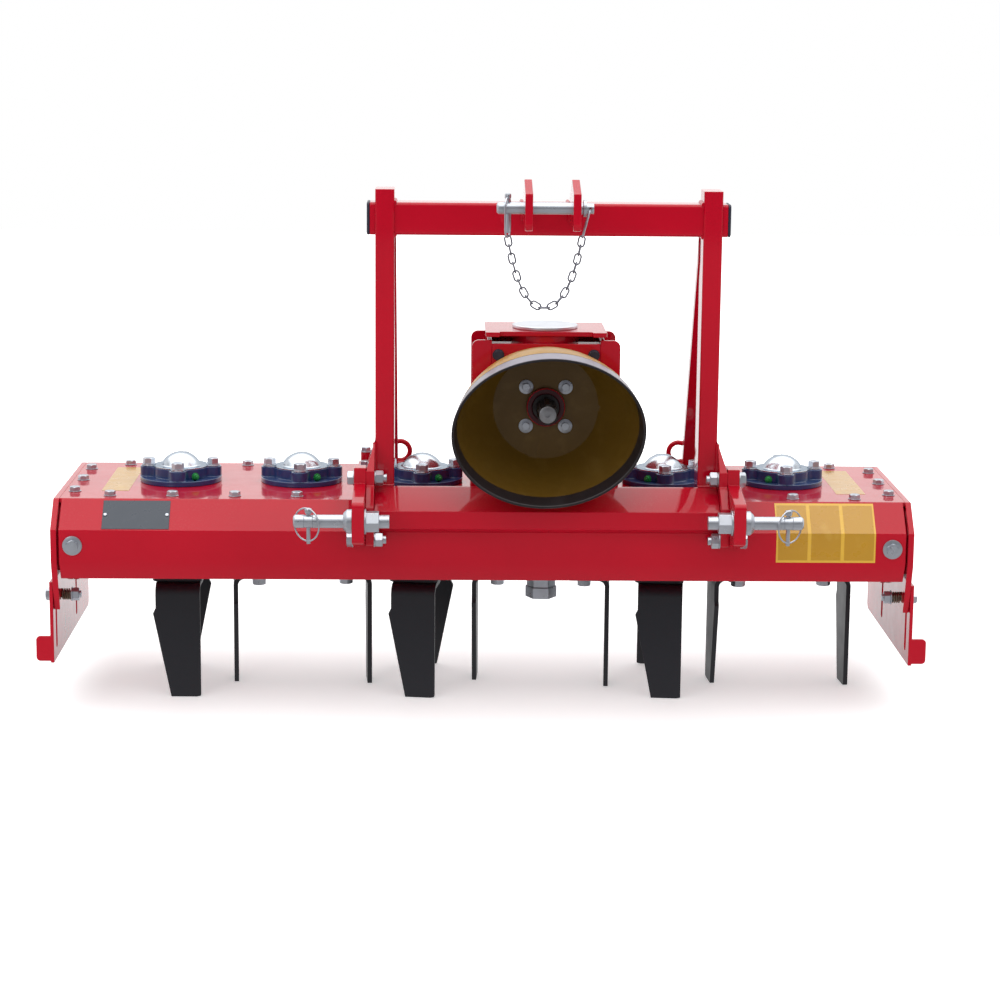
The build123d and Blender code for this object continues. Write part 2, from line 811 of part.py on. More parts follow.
# Safety chain: links of flat wire hang between the ring and a loop through the stub.
# Each link is turned a quarter from the last, and the joints lie on a hanging curve.
link_length = chain_pitch + chain_wire + chain_wire / 2 + chain_room
joint_lap = link_length / 2 - chain_wire / 2 - chain_pitch / 2
link_ranks = [i - (chain_count - 1) / 2 for i in range(chain_count)]
link_aims = [Vector(1, 0, chain_slope_share * rank).normalized() for rank in link_ranks]
link_joint = Vector(top_linch_x, top_pin_row, ring_low_z) - link_aims[0] * joint_lap
with BuildPart() as pin_chain:
    for number, aim in enumerate(link_aims):
        link_middle = link_joint + aim * (chain_pitch / 2)
        link_joint = link_joint + aim * chain_pitch
        face_on = Vector(0, 1, 0)
        link_normal = face_on if number % 2 == 0 else face_on.cross(aim)
        with BuildSketch(Plane(link_middle, x_dir=aim, z_dir=link_normal)):
            SlotOverall(link_length, chain_width)
            SlotOverall(link_length - 2 * chain_wire, chain_width - 2 * chain_wire, mode=Mode.SUBTRACT)
        extrude(amount=chain_wire / 2, both=True)
    loop_low = link_joint - link_aims[-1] * joint_lap
    loop_high = Vector(stub_eye_x, top_pin_row, top_pin_z)
    loop_aim = (loop_high - loop_low).normalized()
    loop_length = (loop_high - loop_low).length + chain_wire
    with BuildSketch(Plane((loop_high + loop_low) / 2, x_dir=(0, 1, 0), z_dir=Vector(0, 1, 0).cross(loop_aim))):
        RectangleRounded(chain_loop_width, loop_length, chain_loop_corner)
        RectangleRounded(
            chain_loop_width - 2 * chain_wire,
            loop_length - 2 * chain_wire,
            chain_loop_corner - chain_wire,
            mode=Mode.SUBTRACT,
        )
    extrude(amount=chain_wire / 2, both=True)
keep("pin_chain", pin_chain)

# Hitch plates: a gusset against each post and a thicker pin plate bolted outside it
gusset_outline = side_points([
    (post_front - post_depth, 0),
    (post_front - post_depth, gusset_peak_rise),
    (post_front, gusset_peak_rise),
    (gusset_step_y, gusset_top_rise),
    (gusset_step_y, gusset_step_rise),
    (gusset_front, gusset_nose_rise),
    (gusset_front, -gusset_drop),
    (shoulder_y, -gusset_drop),
    (shoulder_y, -shoulder_drop),
    (lid_half_width, 0),
])
pin_plate_outline = side_points([
    (pin_plate_front, pin_plate_nose_rise),
    (pin_plate_front, -pin_plate_nose_drop),
    (gusset_front, -gusset_drop),
    (pin_plate_low_y, -gusset_drop),
    (pin_plate_low_y, -shoulder_drop),
    (pin_plate_back_y, pin_plate_heel_rise),
    (pin_plate_back_y, pin_plate_top_rise),
    (pin_plate_top_y, pin_plate_top_rise),
    (pin_plate_top_y, pin_plate_step_rise),
])
for side, side_name in ((-1, "left"), (1, "right")):
    with BuildPart() as gusset:
        with BuildSketch(plane_yz(hitch_x + side * plate_in)):
            with BuildLine():
                Polyline(*gusset_outline, close=True)
            face = make_face()
            fillet(face.vertices().group_by(Axis.X)[0], radius=gusset_corner)
        extrude(amount=side * gusset_thick)
        with BuildSketch(plane_xz(row_y)):
            with BuildLine():
                Polyline(
                    (hitch_x + side * plate_in, deck_z + gusset_peak_rise),
                    (hitch_x + side * plate_mid, deck_z + gusset_peak_rise - gusset_bevel_rise),
                    (hitch_x + side * (plate_mid + cut_over), deck_z + gusset_peak_rise - gusset_bevel_rise),
                    (hitch_x + side * (plate_mid + cut_over), deck_z + gusset_peak_rise + cut_over),
                    (hitch_x + side * plate_in, deck_z + gusset_peak_rise + cut_over),
                    close=True,
                )
            make_face()
        extrude(amount=gusset_front, mode=Mode.SUBTRACT)
    keep("gusset_" + side_name, gusset)

    with BuildPart() as pin_plate:
        with BuildSketch(plane_yz(hitch_x + side * plate_mid)):
            with BuildLine():
                Polyline(*pin_plate_outline, close=True)
            face = make_face()
            fillet(face.vertices().group_by(Axis.X)[0], radius=pin_plate_corner)
            with Locations((row_y - link_pin_y, pin_z)):
                Circle(link_pin_d / 2 + run_gap, mode=Mode.SUBTRACT)
        extrude(amount=side * pin_plate_thick)
    keep("pin_plate_" + side_name, pin_plate)

    # Lower link pin: collar and round pin outside, nut and thread inside
    with BuildPart() as link_pin:
        with BuildSketch(plane_yz(hitch_x + side * plate_out)):
            with Locations((row_y - link_pin_y, pin_z)):
                Circle(collar_d / 2)
        extrude(amount=side * collar_thick)
        chamfer(
            link_pin.edges().group_by(Axis.X)[-1 if side > 0 else 0],
            length=collar_taper,
        )
        with BuildSketch(plane_yz(hitch_x + side * (plate_out + collar_thick + link_pin_length))):
            with Locations((row_y - link_pin_y, pin_z)):
                Circle(link_pin_d / 2)
        extrude(amount=-side * (link_pin_length + collar_thick + pin_plate_thick + link_nut_thick + link_stub))
        chamfer(
            link_pin.edges().group_by(Axis.X)[-1 if side > 0 else 0],
            length=link_pin_chamfer,
        )
        with BuildSketch(plane_yz(hitch_x + side * plate_mid)):
            with Locations((row_y - link_pin_y, pin_z)):
                Circle(link_washer_d / 2)
        extrude(amount=-side * link_washer_thick)
        with BuildSketch(plane_yz(hitch_x + side * (plate_mid - link_washer_thick))):
            with Locations((row_y - link_pin_y, pin_z)):
                RegularPolygon(link_nut_flat / 2, 6, major_radius=False)
        extrude(amount=-side * link_nut_thick)
        with BuildSketch(plane_yz(hitch_x + side * (plate_out + collar_thick + linch_reach))):
            with Locations((row_y - link_pin_y, pin_z)):
                Circle(link_pin_d / 2 + cut_over)
                Circle(link_pin_d / 2 - link_relief_depth, mode=Mode.SUBTRACT)
        extrude(amount=link_relief_width / 2, both=True, mode=Mode.SUBTRACT)
        with BuildSketch(plane_xy(pin_z)):
            with Locations((hitch_x + side * (plate_out + collar_thick + linch_reach), row_y - link_pin_y)):
                Circle(linch_hole_d / 2)
        extrude(amount=link_pin_d, both=True, mode=Mode.SUBTRACT)
    keep("lower_link_pin_" + side_name, link_pin)

    # Linch pin through the lower link pin, with its ring round the tip
    linch_x = hitch_x + side * (plate_out + collar_thick + linch_reach)
    linch_top = pin_z + linch_up
    ring_out = side * (link_pin_length - linch_reach + ring_clear)
    linch_place = Plane((linch_x, row_y - link_pin_y, linch_top))
    with BuildPart() as linch:
        with BuildSketch(linch_place):
            Circle(linch_d / 2)
        extrude(amount=-linch_up - linch_down)
        with BuildSketch(linch_place.offset(-linch_up + link_pin_d / 2 + run_gap)):
            Circle(linch_head_d / 2)
        extrude(amount=linch_up - link_pin_d / 2 + linch_head_thick)
        with BuildLine() as ring_path:
            upper = TangentArc(
                (linch_x, row_y - link_pin_y, linch_top + linch_head_thick - ring_wire),
                (linch_x + ring_out, row_y - link_pin_y, pin_z),
                tangent=(side, 0, 0),
            )
            TangentArc(
                upper @ 1,
                (linch_x + ring_out * ring_end_share, row_y - link_pin_y, pin_z - linch_down),
                tangent=upper % 1,
            )
        with BuildSketch(Plane(ring_path.line @ 0, z_dir=ring_path.line % 0)):
            Circle(ring_wire / 2)
        sweep(path=ring_path.line)
    keep("linch_" + side_name, linch)

# Rear braces from the post heads down to the back of the lid, each with a foot plate
for side, side_name in ((-1, "left"), (1, "right")):
    brace_top = (row_y - post_front + post_depth, deck_z + brace_top_rise)
    brace_low = (row_y + brace_foot_y, deck_z + brace_foot_thick)
    with BuildPart() as brace:
        with BuildSketch(plane_yz(hitch_x + side * brace_half)):
            with BuildLine():
                Polyline(
                    brace_top,
                    (brace_top[0], brace_top[1] - brace_top_length),
                    (brace_low[0] - brace_depth, brace_low[1]),
                    brace_low,
                    close=True,
                )
            make_face()
        extrude(amount=brace_width / 2, both=True)
        with BuildSketch(plane_xy(deck_z)):
            with Locations((hitch_x + side * (brace_half + brace_foot_shift), row_y + brace_foot_y)):
                RectangleRounded(brace_foot_width, brace_foot_length, brace_foot_thick)
        extrude(amount=brace_foot_thick)
    keep("brace_" + side_name, brace)

# Lifting eyes inside the braces
with BuildPart() as lifting_eyes:
    for side in (-1, 1):
        eye_x = hitch_x + side * eye_half
        eye_place = Plane((eye_x, row_y + eye_y, deck_z + eye_rise), x_dir=(1, 0, 0), z_dir=(0, -1, 0))
        with BuildSketch(Plane((eye_x, row_y + eye_y, deck_z + eye_rise))):
            with Locations(((eye_outer - eye_wire) / 2, 0)):
                Circle(eye_wire / 2)
        revolve(axis=Axis((eye_x, row_y + eye_y, deck_z + eye_rise), (0, 1, 0)))
        with BuildSketch(plane_xy(deck_z)):
            with Locations((eye_x, row_y + eye_y)):
                Circle(eye_base_d / 2)
        extrude(amount=eye_rise - (eye_outer - eye_wire) / 2)
keep("lifting_eyes", lifting_eyes)

# Gearbox: casting on a neck over the drive rotor, bearing snout to the front
gear_middle_y = row_y - (support_front - support_rear) / 2
with BuildPart() as gearbox:
    with BuildSketch(plane_xy(deck_z)):
        with Locations((hitch_x, row_y)):
            Circle(neck_flange_d / 2)
    extrude(amount=neck_flange_thick)
    with BuildSketch(plane_xy(deck_z)):
        with Locations((hitch_x, row_y)):
            Circle(neck_d / 2)
    extrude(amount=casting_low_rise)
    with BuildSketch(plane_xy(deck_z + casting_low_rise)):
        with Locations((hitch_x, row_y + (casting_rear - support_front + front_plate_thick) / 2)):
            RectangleRounded(2 * casting_half, casting_rear + support_front - front_plate_thick, casting_corner)
    extrude(amount=casting_top_rise - casting_low_rise)
    with BuildSketch(plane_xy(deck_z + casting_top_rise)):
        with Locations((hitch_x, gear_middle_y)):
            Circle(crown_d / 2)
    extrude(amount=crown_top_rise - casting_top_rise)
    with BuildSketch(plane_xy(deck_z + casting_low_rise)):
        with Locations((hitch_x, row_y + casting_rear - rear_wall_thick / 2)):
            Rectangle(2 * support_web_half, rear_wall_thick)
    extrude(amount=rear_wall_top_rise - casting_low_rise)
    with BuildSketch(plane_xz(row_y - support_front + front_plate_thick)):
        with Locations((hitch_x, gear_z)):
            Circle(snout_d / 2)
    extrude(amount=front_plate_thick + snout_length)
    with BuildSketch(plane_xz(row_y - support_front - snout_length)):
        with Locations((hitch_x, gear_z)):
            Circle(snout_bore_d / 2)
    extrude(amount=-snout_length - front_plate_thick, mode=Mode.SUBTRACT)
keep("gearbox_housing", gearbox)

# Support: a bent channel each side, joined in front by the plate that the guard bolts to
support_depth = support_front + support_rear
support_middle = (support_half + support_web_half) / 2
for side, side_name in ((-1, "left"), (1, "right")):
    with BuildPart() as support:
        with BuildSketch(plane_xy(deck_z)):
            with Locations((hitch_x + side * support_middle, gear_middle_y)):
                Rectangle(support_half - support_web_half, support_depth)
            with Locations((hitch_x + side * (support_middle + support_wall), gear_middle_y)):
                Rectangle(support_half - support_web_half, support_depth - 2 * support_wall, mode=Mode.SUBTRACT)
        extrude(amount=support_top_rise)
        outer_edges = support.edges().filter_by(Axis.Y).group_by(Axis.Z)[-1].group_by(Axis.X)[-1 if side > 0 else 0]
        fillet(outer_edges, radius=support_corner)
    keep("gearbox_support_" + side_name, support)

with BuildPart() as front_plate:
    with BuildSketch(plane_xz(row_y - support_front + front_plate_thick)):
        with Locations((hitch_x, deck_z + (front_plate_top_rise + front_plate_low_rise) / 2)):
            Rectangle(2 * support_web_half, front_plate_top_rise - front_plate_low_rise)
        with Locations((hitch_x, gear_z)):
            Circle(snout_d / 2, mode=Mode.SUBTRACT)
    extrude(amount=front_plate_thick)
    with BuildSketch(plane_xy(deck_z + front_plate_top_rise)):
        with Locations((hitch_x, row_y - support_front + ledge_depth / 2)):
            Rectangle(2 * support_web_half, ledge_depth)
        with Locations((hitch_x, gear_middle_y)):
            Circle(crown_d / 2 + crown_gap, mode=Mode.SUBTRACT)
    extrude(amount=-ledge_thick)
keep("gearbox_front_plate", front_plate)

with BuildPart() as top_plate:
    with BuildSketch(plane_xy(deck_z + crown_top_rise)):
        with Locations((hitch_x, gear_middle_y)):
            RectangleRounded(2 * cover_half, cover_depth, top_plate_corner)
        with Locations((hitch_x, gear_middle_y - cover_depth / 2)):
            RectangleRounded(
                2 * (cover_half - top_plate_tab),
                2 * top_plate_notch_depth,
                top_plate_corner,
                mode=Mode.SUBTRACT,
            )
    extrude(amount=top_plate_thick)
keep("gearbox_top_plate", top_plate)

with BuildPart() as top_cap:
    with BuildSketch(plane_xy(deck_z + crown_top_rise + top_plate_thick)):
        with Locations((hitch_x, gear_middle_y)):
            Circle(top_cap_d / 2)
    extrude(amount=top_cap_thick)
keep("gearbox_cap", top_cap)

# Input shaft with six splines
with BuildPart() as input_shaft:
    with BuildSketch(plane_xz(row_y - input_front)):
        with Locations((hitch_x, gear_z)):
            Circle(input_root_d / 2)
            with PolarLocations(0, spline_count):
                Rectangle(spline_width, input_d)
    extrude(amount=-input_length)
    with BuildSketch(plane_xz(row_y - input_front)):
        with Locations((hitch_x, gear_z)):
            Circle(input_d / 2)
    extrude(amount=-input_length, mode=Mode.INTERSECT)
    with BuildSketch(plane_xz(row_y - input_front)):
        with Locations((hitch_x, gear_z)):
            Circle(input_hole_d / 2)
    extrude(amount=-input_hole_depth, mode=Mode.SUBTRACT)
    with BuildSketch(plane_xz(row_y - support_front - snout_length)):
        with Locations((hitch_x, gear_z)):
            Circle(snout_bore_d / 2 - run_gap)
    extrude(amount=-snout_length)
keep("input_shaft", input_shaft)

# Guard: a flared bell from a round disc to an oval, tilted mouth with a rubber lip
guard_back = row_y - support_front
tilt = math.radians(mouth_tilt)
mouth_aim = (0, -math.cos(tilt), math.sin(tilt))
rim_plane = Plane((hitch_x, row_y - rim_y, deck_z + rim_rise), x_dir=(1, 0, 0), z_dir=mouth_aim)
mouth_plane = Plane((hitch_x, row_y - mouth_y, deck_z + mouth_rise), x_dir=(1, 0, 0), z_dir=mouth_aim)
with BuildPart() as guard_bell:
    for inset, mode in ((0, Mode.ADD), (guard_wall, Mode.SUBTRACT)):
        with BuildSketch(plane_xz(guard_back - (guard_disc_thick if inset else 0))):
            with Locations((hitch_x, gear_z)):
                Circle(guard_disc_half - inset)
        with BuildSketch(plane_xz(row_y - guard_waist_y)):
            with Locations((hitch_x, deck_z + guard_waist_rise)):
                Ellipse(guard_waist_half - inset, guard_waist_high - inset)
        with BuildSketch(rim_plane):
            Ellipse(rim_half - inset, rim_high - inset, rotation=mouth_turn)
        loft(mode=mode)
    with BuildSketch(plane_xz(guard_back)):
        with Locations((hitch_x, gear_z)):
            Circle(snout_d / 2 + run_gap)
    extrude(amount=guard_disc_thick, both=True, mode=Mode.SUBTRACT)
keep("guard_bell", guard_bell)

with BuildPart() as guard_lip:
    for inset, mode in ((0, Mode.ADD), (lip_ring_wall, Mode.SUBTRACT)):
        with BuildSketch(rim_plane):
            Ellipse(rim_half - inset, rim_high - inset, rotation=mouth_turn)
        with BuildSketch(mouth_plane):
            Ellipse(mouth_half - inset, mouth_high - inset, rotation=mouth_turn)
        loft(mode=mode)
keep("guard_lip", guard_lip)

os.makedirs("parts", exist_ok=True)
for name, piece in pieces.items():
    export_step(piece, "parts/" + name + ".step")
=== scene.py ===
import math
import bpy
from bpy.props import FloatProperty, FloatVectorProperty, IntProperty, PointerProperty
from mathutils import Matrix, Vector


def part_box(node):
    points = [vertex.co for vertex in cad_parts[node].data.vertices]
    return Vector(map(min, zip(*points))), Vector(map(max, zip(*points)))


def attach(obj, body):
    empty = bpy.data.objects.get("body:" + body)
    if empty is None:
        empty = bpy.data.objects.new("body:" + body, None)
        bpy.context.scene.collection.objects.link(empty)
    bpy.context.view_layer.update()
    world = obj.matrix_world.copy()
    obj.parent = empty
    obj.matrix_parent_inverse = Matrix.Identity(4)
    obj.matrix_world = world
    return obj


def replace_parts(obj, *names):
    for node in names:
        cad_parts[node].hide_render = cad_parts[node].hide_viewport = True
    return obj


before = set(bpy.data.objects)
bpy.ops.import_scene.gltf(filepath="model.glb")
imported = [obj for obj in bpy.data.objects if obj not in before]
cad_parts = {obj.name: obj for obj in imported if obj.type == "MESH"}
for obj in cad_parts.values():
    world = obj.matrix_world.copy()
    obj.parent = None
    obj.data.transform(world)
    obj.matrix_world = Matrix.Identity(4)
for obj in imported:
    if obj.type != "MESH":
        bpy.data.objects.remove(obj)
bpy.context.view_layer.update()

bl_info = {
    "name": "Power harrow finish",
    "version": (1, 0, 0),
    "blender": (4, 5, 0),
    "location": "3D View > Sidebar > Harrow",
    "description": "Dresses the power harrow with paint, plated hardware, welds, a guard and a studio",
    "category": "Object",
}

# The lid carries every other place: x along the machine, y from the rotor row, z over the lid.
# The shoulders run out and drop from its edges to the trough's walls.
LID_LOW, LID_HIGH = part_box("trough_lid")
ROW_Y = (LID_LOW.y + LID_HIGH.y) / 2
DECK_Z = LID_HIGH.z
HITCH_X = (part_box("top_tube")[0].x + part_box("top_tube")[1].x) / 2
SHOULDER_RUN = 0.045
SHOULDER_DROP = 0.0456
SHOULDER_Y = -0.217
SLOPE_OUT = Vector((0, -SHOULDER_DROP, SHOULDER_RUN)).normalized()
ROTOR_PITCH = 0.210
UPPER_UNITS = (1, 2, 3, 5, 6)
SIDES = ((-1, "left"), (1, "right"))
MERGE = 0.00001


def on_lid(x, y, z=0.0):
    """A point in metres given from the lid's middle line, in the model's frame."""
    return Vector((x, ROW_Y + y, DECK_Z + z))


def rotor_x(number):
    """The place along the machine of a rotor counted from 1 to 6."""
    return (number - 3.5) * ROTOR_PITCH


def node_middle(name):
    low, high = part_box(name)
    return (low + high) / 2


# Sizes and colours

COLOUR = {"subtype": "COLOR", "size": 3, "min": 0, "max": 1}


class HarrowPaint(bpy.types.PropertyGroup):
    red: FloatVectorProperty(name="Red paint", description="Gloss paint of the frame and trough",
                             default=(0.470, 0.0012, 0.0150), **COLOUR)
    navy: FloatVectorProperty(name="Navy paint", description="Paint of the bearing castings",
                              default=(0.013, 0.036, 0.130), **COLOUR)
    tine: FloatVectorProperty(name="Tine coat", description="Dark coat of the tines and rotors",
                              default=(0.0070, 0.0070, 0.0130), **COLOUR)
    zinc: FloatVectorProperty(name="Zinc plate", description="Bright plated hardware",
                              default=(0.58, 0.61, 0.66), **COLOUR)
    steel: FloatVectorProperty(name="Bare steel", description="Machined input shaft",
                               default=(0.42, 0.42, 0.43), **COLOUR)
    guard: FloatVectorProperty(name="Guard yellow", description="Moulded guard round the input shaft",
                               default=(0.42, 0.215, 0.012), **COLOUR)
    # The guard's inside colour is a darker copy of the guard yellow: painted shade inside the bell.
    guard_inside: FloatVectorProperty(name="Guard inside", description="Cover_coloury inside of the guard",
                                      default=(0.110, 0.057, 0.005), **COLOUR)
    rubber: FloatVectorProperty(name="Guard lip", description="Rubber lip of the guard",
                                default=(0.014, 0.010, 0.011), **COLOUR)
    plug: FloatVectorProperty(name="Grease plug", description="Green plastic plugs",
                              default=(0.012, 0.24, 0.050), **COLOUR)
    cap: FloatVectorProperty(name="Tube cap", description="Plastic caps of the top tube",
                             default=(0.020, 0.020, 0.040), **COLOUR)
    sticker: FloatVectorProperty(name="Sticker yellow", description="Blank stickers",
                                 default=(0.49, 0.245, 0.002), **COLOUR)
    plate: FloatVectorProperty(name="Data plate", description="Blank data plate",
                               default=(0.018, 0.028, 0.045), **COLOUR)
    gloss: FloatProperty(name="Paint roughness", description="Roughness under the clear gloss",
                         min=0, max=1, default=0.34)


class HarrowHardware(bpy.types.PropertyGroup):
    lid_bolt: FloatProperty(name="Lid bolt", description="Width across the flats of the lid bolts",
                            unit="LENGTH", default=0.0165)
    bearing_bolt: FloatProperty(name="Bearing bolt", description="Width across the flats of the bearing bolts",
                                unit="LENGTH", default=0.0185)
    hitch_bolt: FloatProperty(name="Hitch bolt", description="Width across the flats of the hitch plate bolts",
                              unit="LENGTH", default=0.022)
    guard_bolt: FloatProperty(name="Guard bolt", description="Width across the flats of the guard bolts",
                              unit="LENGTH", default=0.013)
    tine_bolt: FloatProperty(name="Tine bolt", description="Width across the flats of the tine foot bolts",
                             unit="LENGTH", default=0.022)
    lid_pitch: FloatProperty(name="Lid bolt pitch", description="Distance between the lid bolts",
                             unit="LENGTH", default=0.105)
    lid_row: FloatProperty(name="Lid bolt row", description="Distance of the bolt rows from the rotor row",
                           unit="LENGTH", default=0.147)
    edge: FloatProperty(name="Edge break", description="Rounding of sheared plate edges",
                        unit="LENGTH", default=0.0011)
    casting_edge: FloatProperty(name="Casting edge", description="Rounding of cast edges",
                                unit="LENGTH", default=0.0022)
    bead: FloatProperty(name="Weld bead", description="Radius of a weld bead", unit="LENGTH", default=0.0035)
    chain_wire: FloatProperty(name="Chain wire", description="Wire diameter of the safety chain",
                              unit="LENGTH", default=0.0028)
    chain_links: IntProperty(name="Chain links", description="Number of links in the safety chain",
                             min=1, default=19)


class HarrowStage(bpy.types.PropertyGroup):
    floor: FloatProperty(name="Floor", description="Half width of the floor", unit="LENGTH", default=9.0)
    overhead: FloatProperty(name="Overhead lamp", description="Power of the overhead soft light",
                            unit="POWER", default=215.0)
    front: FloatProperty(name="Front lamp", description="Power of the soft light by the camera",
                         unit="POWER", default=14.0)
    fill: FloatProperty(name="Fill", description="Strength of the even light from all round",
                        min=0, default=0.75)
    lens: FloatProperty(name="Lens", description="Focal length of the camera in millimetres",
                        min=1, default=92.3)
    eye: FloatVectorProperty(name="Camera place", description="Where the camera stands",
                             subtype="TRANSLATION", unit="LENGTH", size=3, default=(-0.0696, -4.365, 1.1795))
    yaw: FloatProperty(name="Yaw", description="Turn of the camera to the right",
                       unit="ROTATION", default=0.0229)
    pitch: FloatProperty(name="Pitch", description="Tilt of the camera down", unit="ROTATION", default=0.1915)
    roll: FloatProperty(name="Roll", description="Roll of the camera", unit="ROTATION", default=0.0094)


# Hand tools

def settle():
    """Leave edit mode and clear the selection."""
    if bpy.context.object is not None and bpy.context.object.mode != "OBJECT":
        close_mesh()
    bpy.ops.object.select_all(action="DESELECT")


def seize(piece):
    """Make one piece the only selected one."""
    settle()
    piece.hide_set(False)
    piece.select_set(True)
    bpy.context.view_layer.objects.active = piece


def open_mesh(piece):
    """Enter edit mode with everything selected."""
    seize(piece)
    bpy.ops.object.mode_set(mode="EDIT")
    bpy.ops.mesh.select_all(action="SELECT")


def close_mesh():
    bpy.ops.object.mode_set(mode="OBJECT")


def pick(piece, kind, test):
    """Enter edit mode with only the faces or vertices selected that pass."""
    open_mesh(piece)
    bpy.ops.mesh.select_mode(type=kind)
    bpy.ops.mesh.select_all(action="DESELECT")
    close_mesh()
    for member in piece.data.polygons if kind == "FACE" else piece.data.vertices:
        member.select = test(member)
    bpy.ops.object.mode_set(mode="EDIT")


def pick_faces(piece, test):
    pick(piece, "FACE", lambda face: test(face.center, face.normal))


def pick_points(piece, test):
    pick(piece, "VERT", lambda point: test(point.co))


def fix_place(piece):
    """Put a piece's place, turn and size into its mesh."""
    seize(piece)
    bpy.ops.object.transform_apply(location=True, rotation=True, scale=True)


def press(piece, kind, **settings):
    """Add one modifier and apply it."""
    seize(piece)
    modifier = piece.modifiers.new(kind.title(), kind)
    for key, value in settings.items():
        setattr(modifier, key, value)
    bpy.ops.object.modifier_apply(modifier=modifier.name)


def round_edges(piece, width, segments=2):
    press(piece, "BEVEL", width=width, segments=segments, limit_method="ANGLE",
          angle_limit=math.radians(32), use_clamp_overlap=False, harden_normals=False)


def smooth(piece, angle):
    seize(piece)
    bpy.ops.object.shade_smooth_by_angle(angle=math.radians(angle))


def turn_out(piece):
    """Merge doubles and point every face outwards."""
    open_mesh(piece)
    bpy.ops.mesh.remove_doubles(threshold=MERGE)
    bpy.ops.mesh.normals_make_consistent(inside=False)
    close_mesh()


def join(pieces, name):
    """Join pieces into one with the given name."""
    settle()
    for piece in pieces:
        piece.select_set(True)
    bpy.context.view_layer.objects.active = pieces[0]
    if len(pieces) > 1:
        bpy.ops.object.join()
    pieces[0].name = name
    pieces[0].data.name = name
    return pieces[0]


def copy_of(piece):
    twin = piece.copy()
    twin.data = piece.data.copy()
    bpy.context.scene.collection.objects.link(twin)
    return twin


def facing(spot, aim, turn=0.0):
    """The place that takes a piece made upright at the origin to a spot and a direction."""
    upright = Vector(aim).to_track_quat("Z", "Y").to_matrix().to_4x4()
    return Matrix.Translation(spot) @ upright @ Matrix.Rotation(turn, 4, "Z")


def turn_to(first, second, third):
    """The turn that takes the three axes to three given directions."""
    return Matrix((first, second, third)).transposed().to_4x4()


def stamp(pattern, places, name, body="frame"):
    """Copy a pattern to every place and join the copies into one piece."""
    copies = []
    for place in places:
        twin = copy_of(pattern)
        twin.data.transform(place)
        copies.append(twin)
    piece = join(copies, name)
    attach(piece, body)
    return piece


def discard(pattern):
    seize(pattern)
    bpy.ops.object.delete()


def spread(pattern, places, name, body="frame"):
    """Stamp a pattern that nothing else needs, and delete it."""
    piece = stamp(pattern, places, name, body)
    discard(pattern)
    return piece


def finish_named(finish):
    return bpy.data.materials[finish + "_finish"]


def paint_with(piece, finish):
    piece.data.materials.clear()
    piece.data.materials.append(finish_named(finish))


def coat(piece, angle, finish):
    """Smooth a piece under an angle and give it its finish."""
    smooth(piece, angle)
    paint_with(piece, finish)
    return piece


def dressed(node, finish, edge, body="frame", segments=2, smooth_angle=36, flatten=True):
    """Replace a CAD node by a merged copy with rounded edges, its flat faces joined if asked."""
    settle()
    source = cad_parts[node]
    piece = bpy.data.objects.new(node + "_finish", source.data.copy())
    bpy.context.scene.collection.objects.link(piece)
    open_mesh(piece)
    bpy.ops.mesh.remove_doubles(threshold=MERGE)
    if flatten:
        bpy.ops.mesh.dissolve_limited(angle_limit=math.radians(0.6))
    close_mesh()
    if edge > 0:
        round_edges(piece, edge, segments)
        open_mesh(piece)
        bpy.ops.mesh.dissolve_degenerate(threshold=MERGE * 3)
        bpy.ops.mesh.remove_doubles(threshold=MERGE * 3)
        close_mesh()
    smooth(piece, smooth_angle)
    press(piece, "WEIGHTED_NORMAL", mode="FACE_AREA", weight=50, keep_sharp=True)
    paint_with(piece, finish)
    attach(piece, body)
    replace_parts(piece, node)
    return piece


# Patterns that are modelled once and copied

def hex_block(name, across, height, base=0.0, both_ends=False):
    """A hexagon with its corners turned off in the lathe, upright from the base."""
    corner = across / math.sqrt(3)
    settle()
    middle = (0, 0, base + height / 2)
    bpy.ops.mesh.primitive_cylinder_add(vertices=6, radius=corner, depth=height, location=middle)
    block = bpy.context.object
    block.name = name
    top = across * 0.475
    foot = top + height * 1.73
    for radii in ((foot, top), (top, foot))[:2 if both_ends else 1]:
        settle()
        bpy.ops.mesh.primitive_cone_add(vertices=32, radius1=radii[0], radius2=radii[1], depth=height,
                                        location=middle)
        tool = bpy.context.object
        press(block, "BOOLEAN", operation="INTERSECT", object=tool, solver="EXACT")
        discard(tool)
    fix_place(block)
    return block


def round_block(name, radius, height, base=0.0, edge=0.0, sides=28):
    """A turned disc or pin with broken edges, upright from the base."""
    settle()
    bpy.ops.mesh.primitive_cylinder_add(vertices=sides, radius=radius, depth=height,
                                        location=(0, 0, base + height / 2))
    block = bpy.context.object
    block.name = name
    if edge > 0:
        pick_faces(block, lambda centre, normal: abs(normal.z) > 0.9)
        bpy.ops.mesh.bevel(offset=edge, segments=2, affect="EDGES")
        close_mesh()
    fix_place(block)
    return block


def on_washer(name, parts, washer, thick, finish="zinc"):
    """Join the parts of a bolt or nut with the washer under them."""
    parts.append(round_block(name + "_washer", washer / 2, thick, edge=thick * 0.3))
    return coat(join(parts, name), 28, finish)


def bolt_pattern(name, across, head, washer, washer_thick, finish="zinc"):
    """A hexagon bolt head on its washer, seated at the origin and pointing up."""
    parts = [hex_block(name + "_head", across, head, base=washer_thick)]
    return on_washer(name, parts, washer, washer_thick, finish)


def nut_pattern(name, across, height, thread, reach, washer, washer_thick):
    """A nut with the end of its thread standing out, seated at the origin and pointing up."""
    parts = [hex_block(name + "_nut", across, height, base=washer_thick, both_ends=True)]
    parts.append(round_block(name + "_thread", thread / 2, reach, base=washer_thick + height * 0.5,
                             edge=thread * 0.07))
    return on_washer(name, parts, washer, washer_thick)


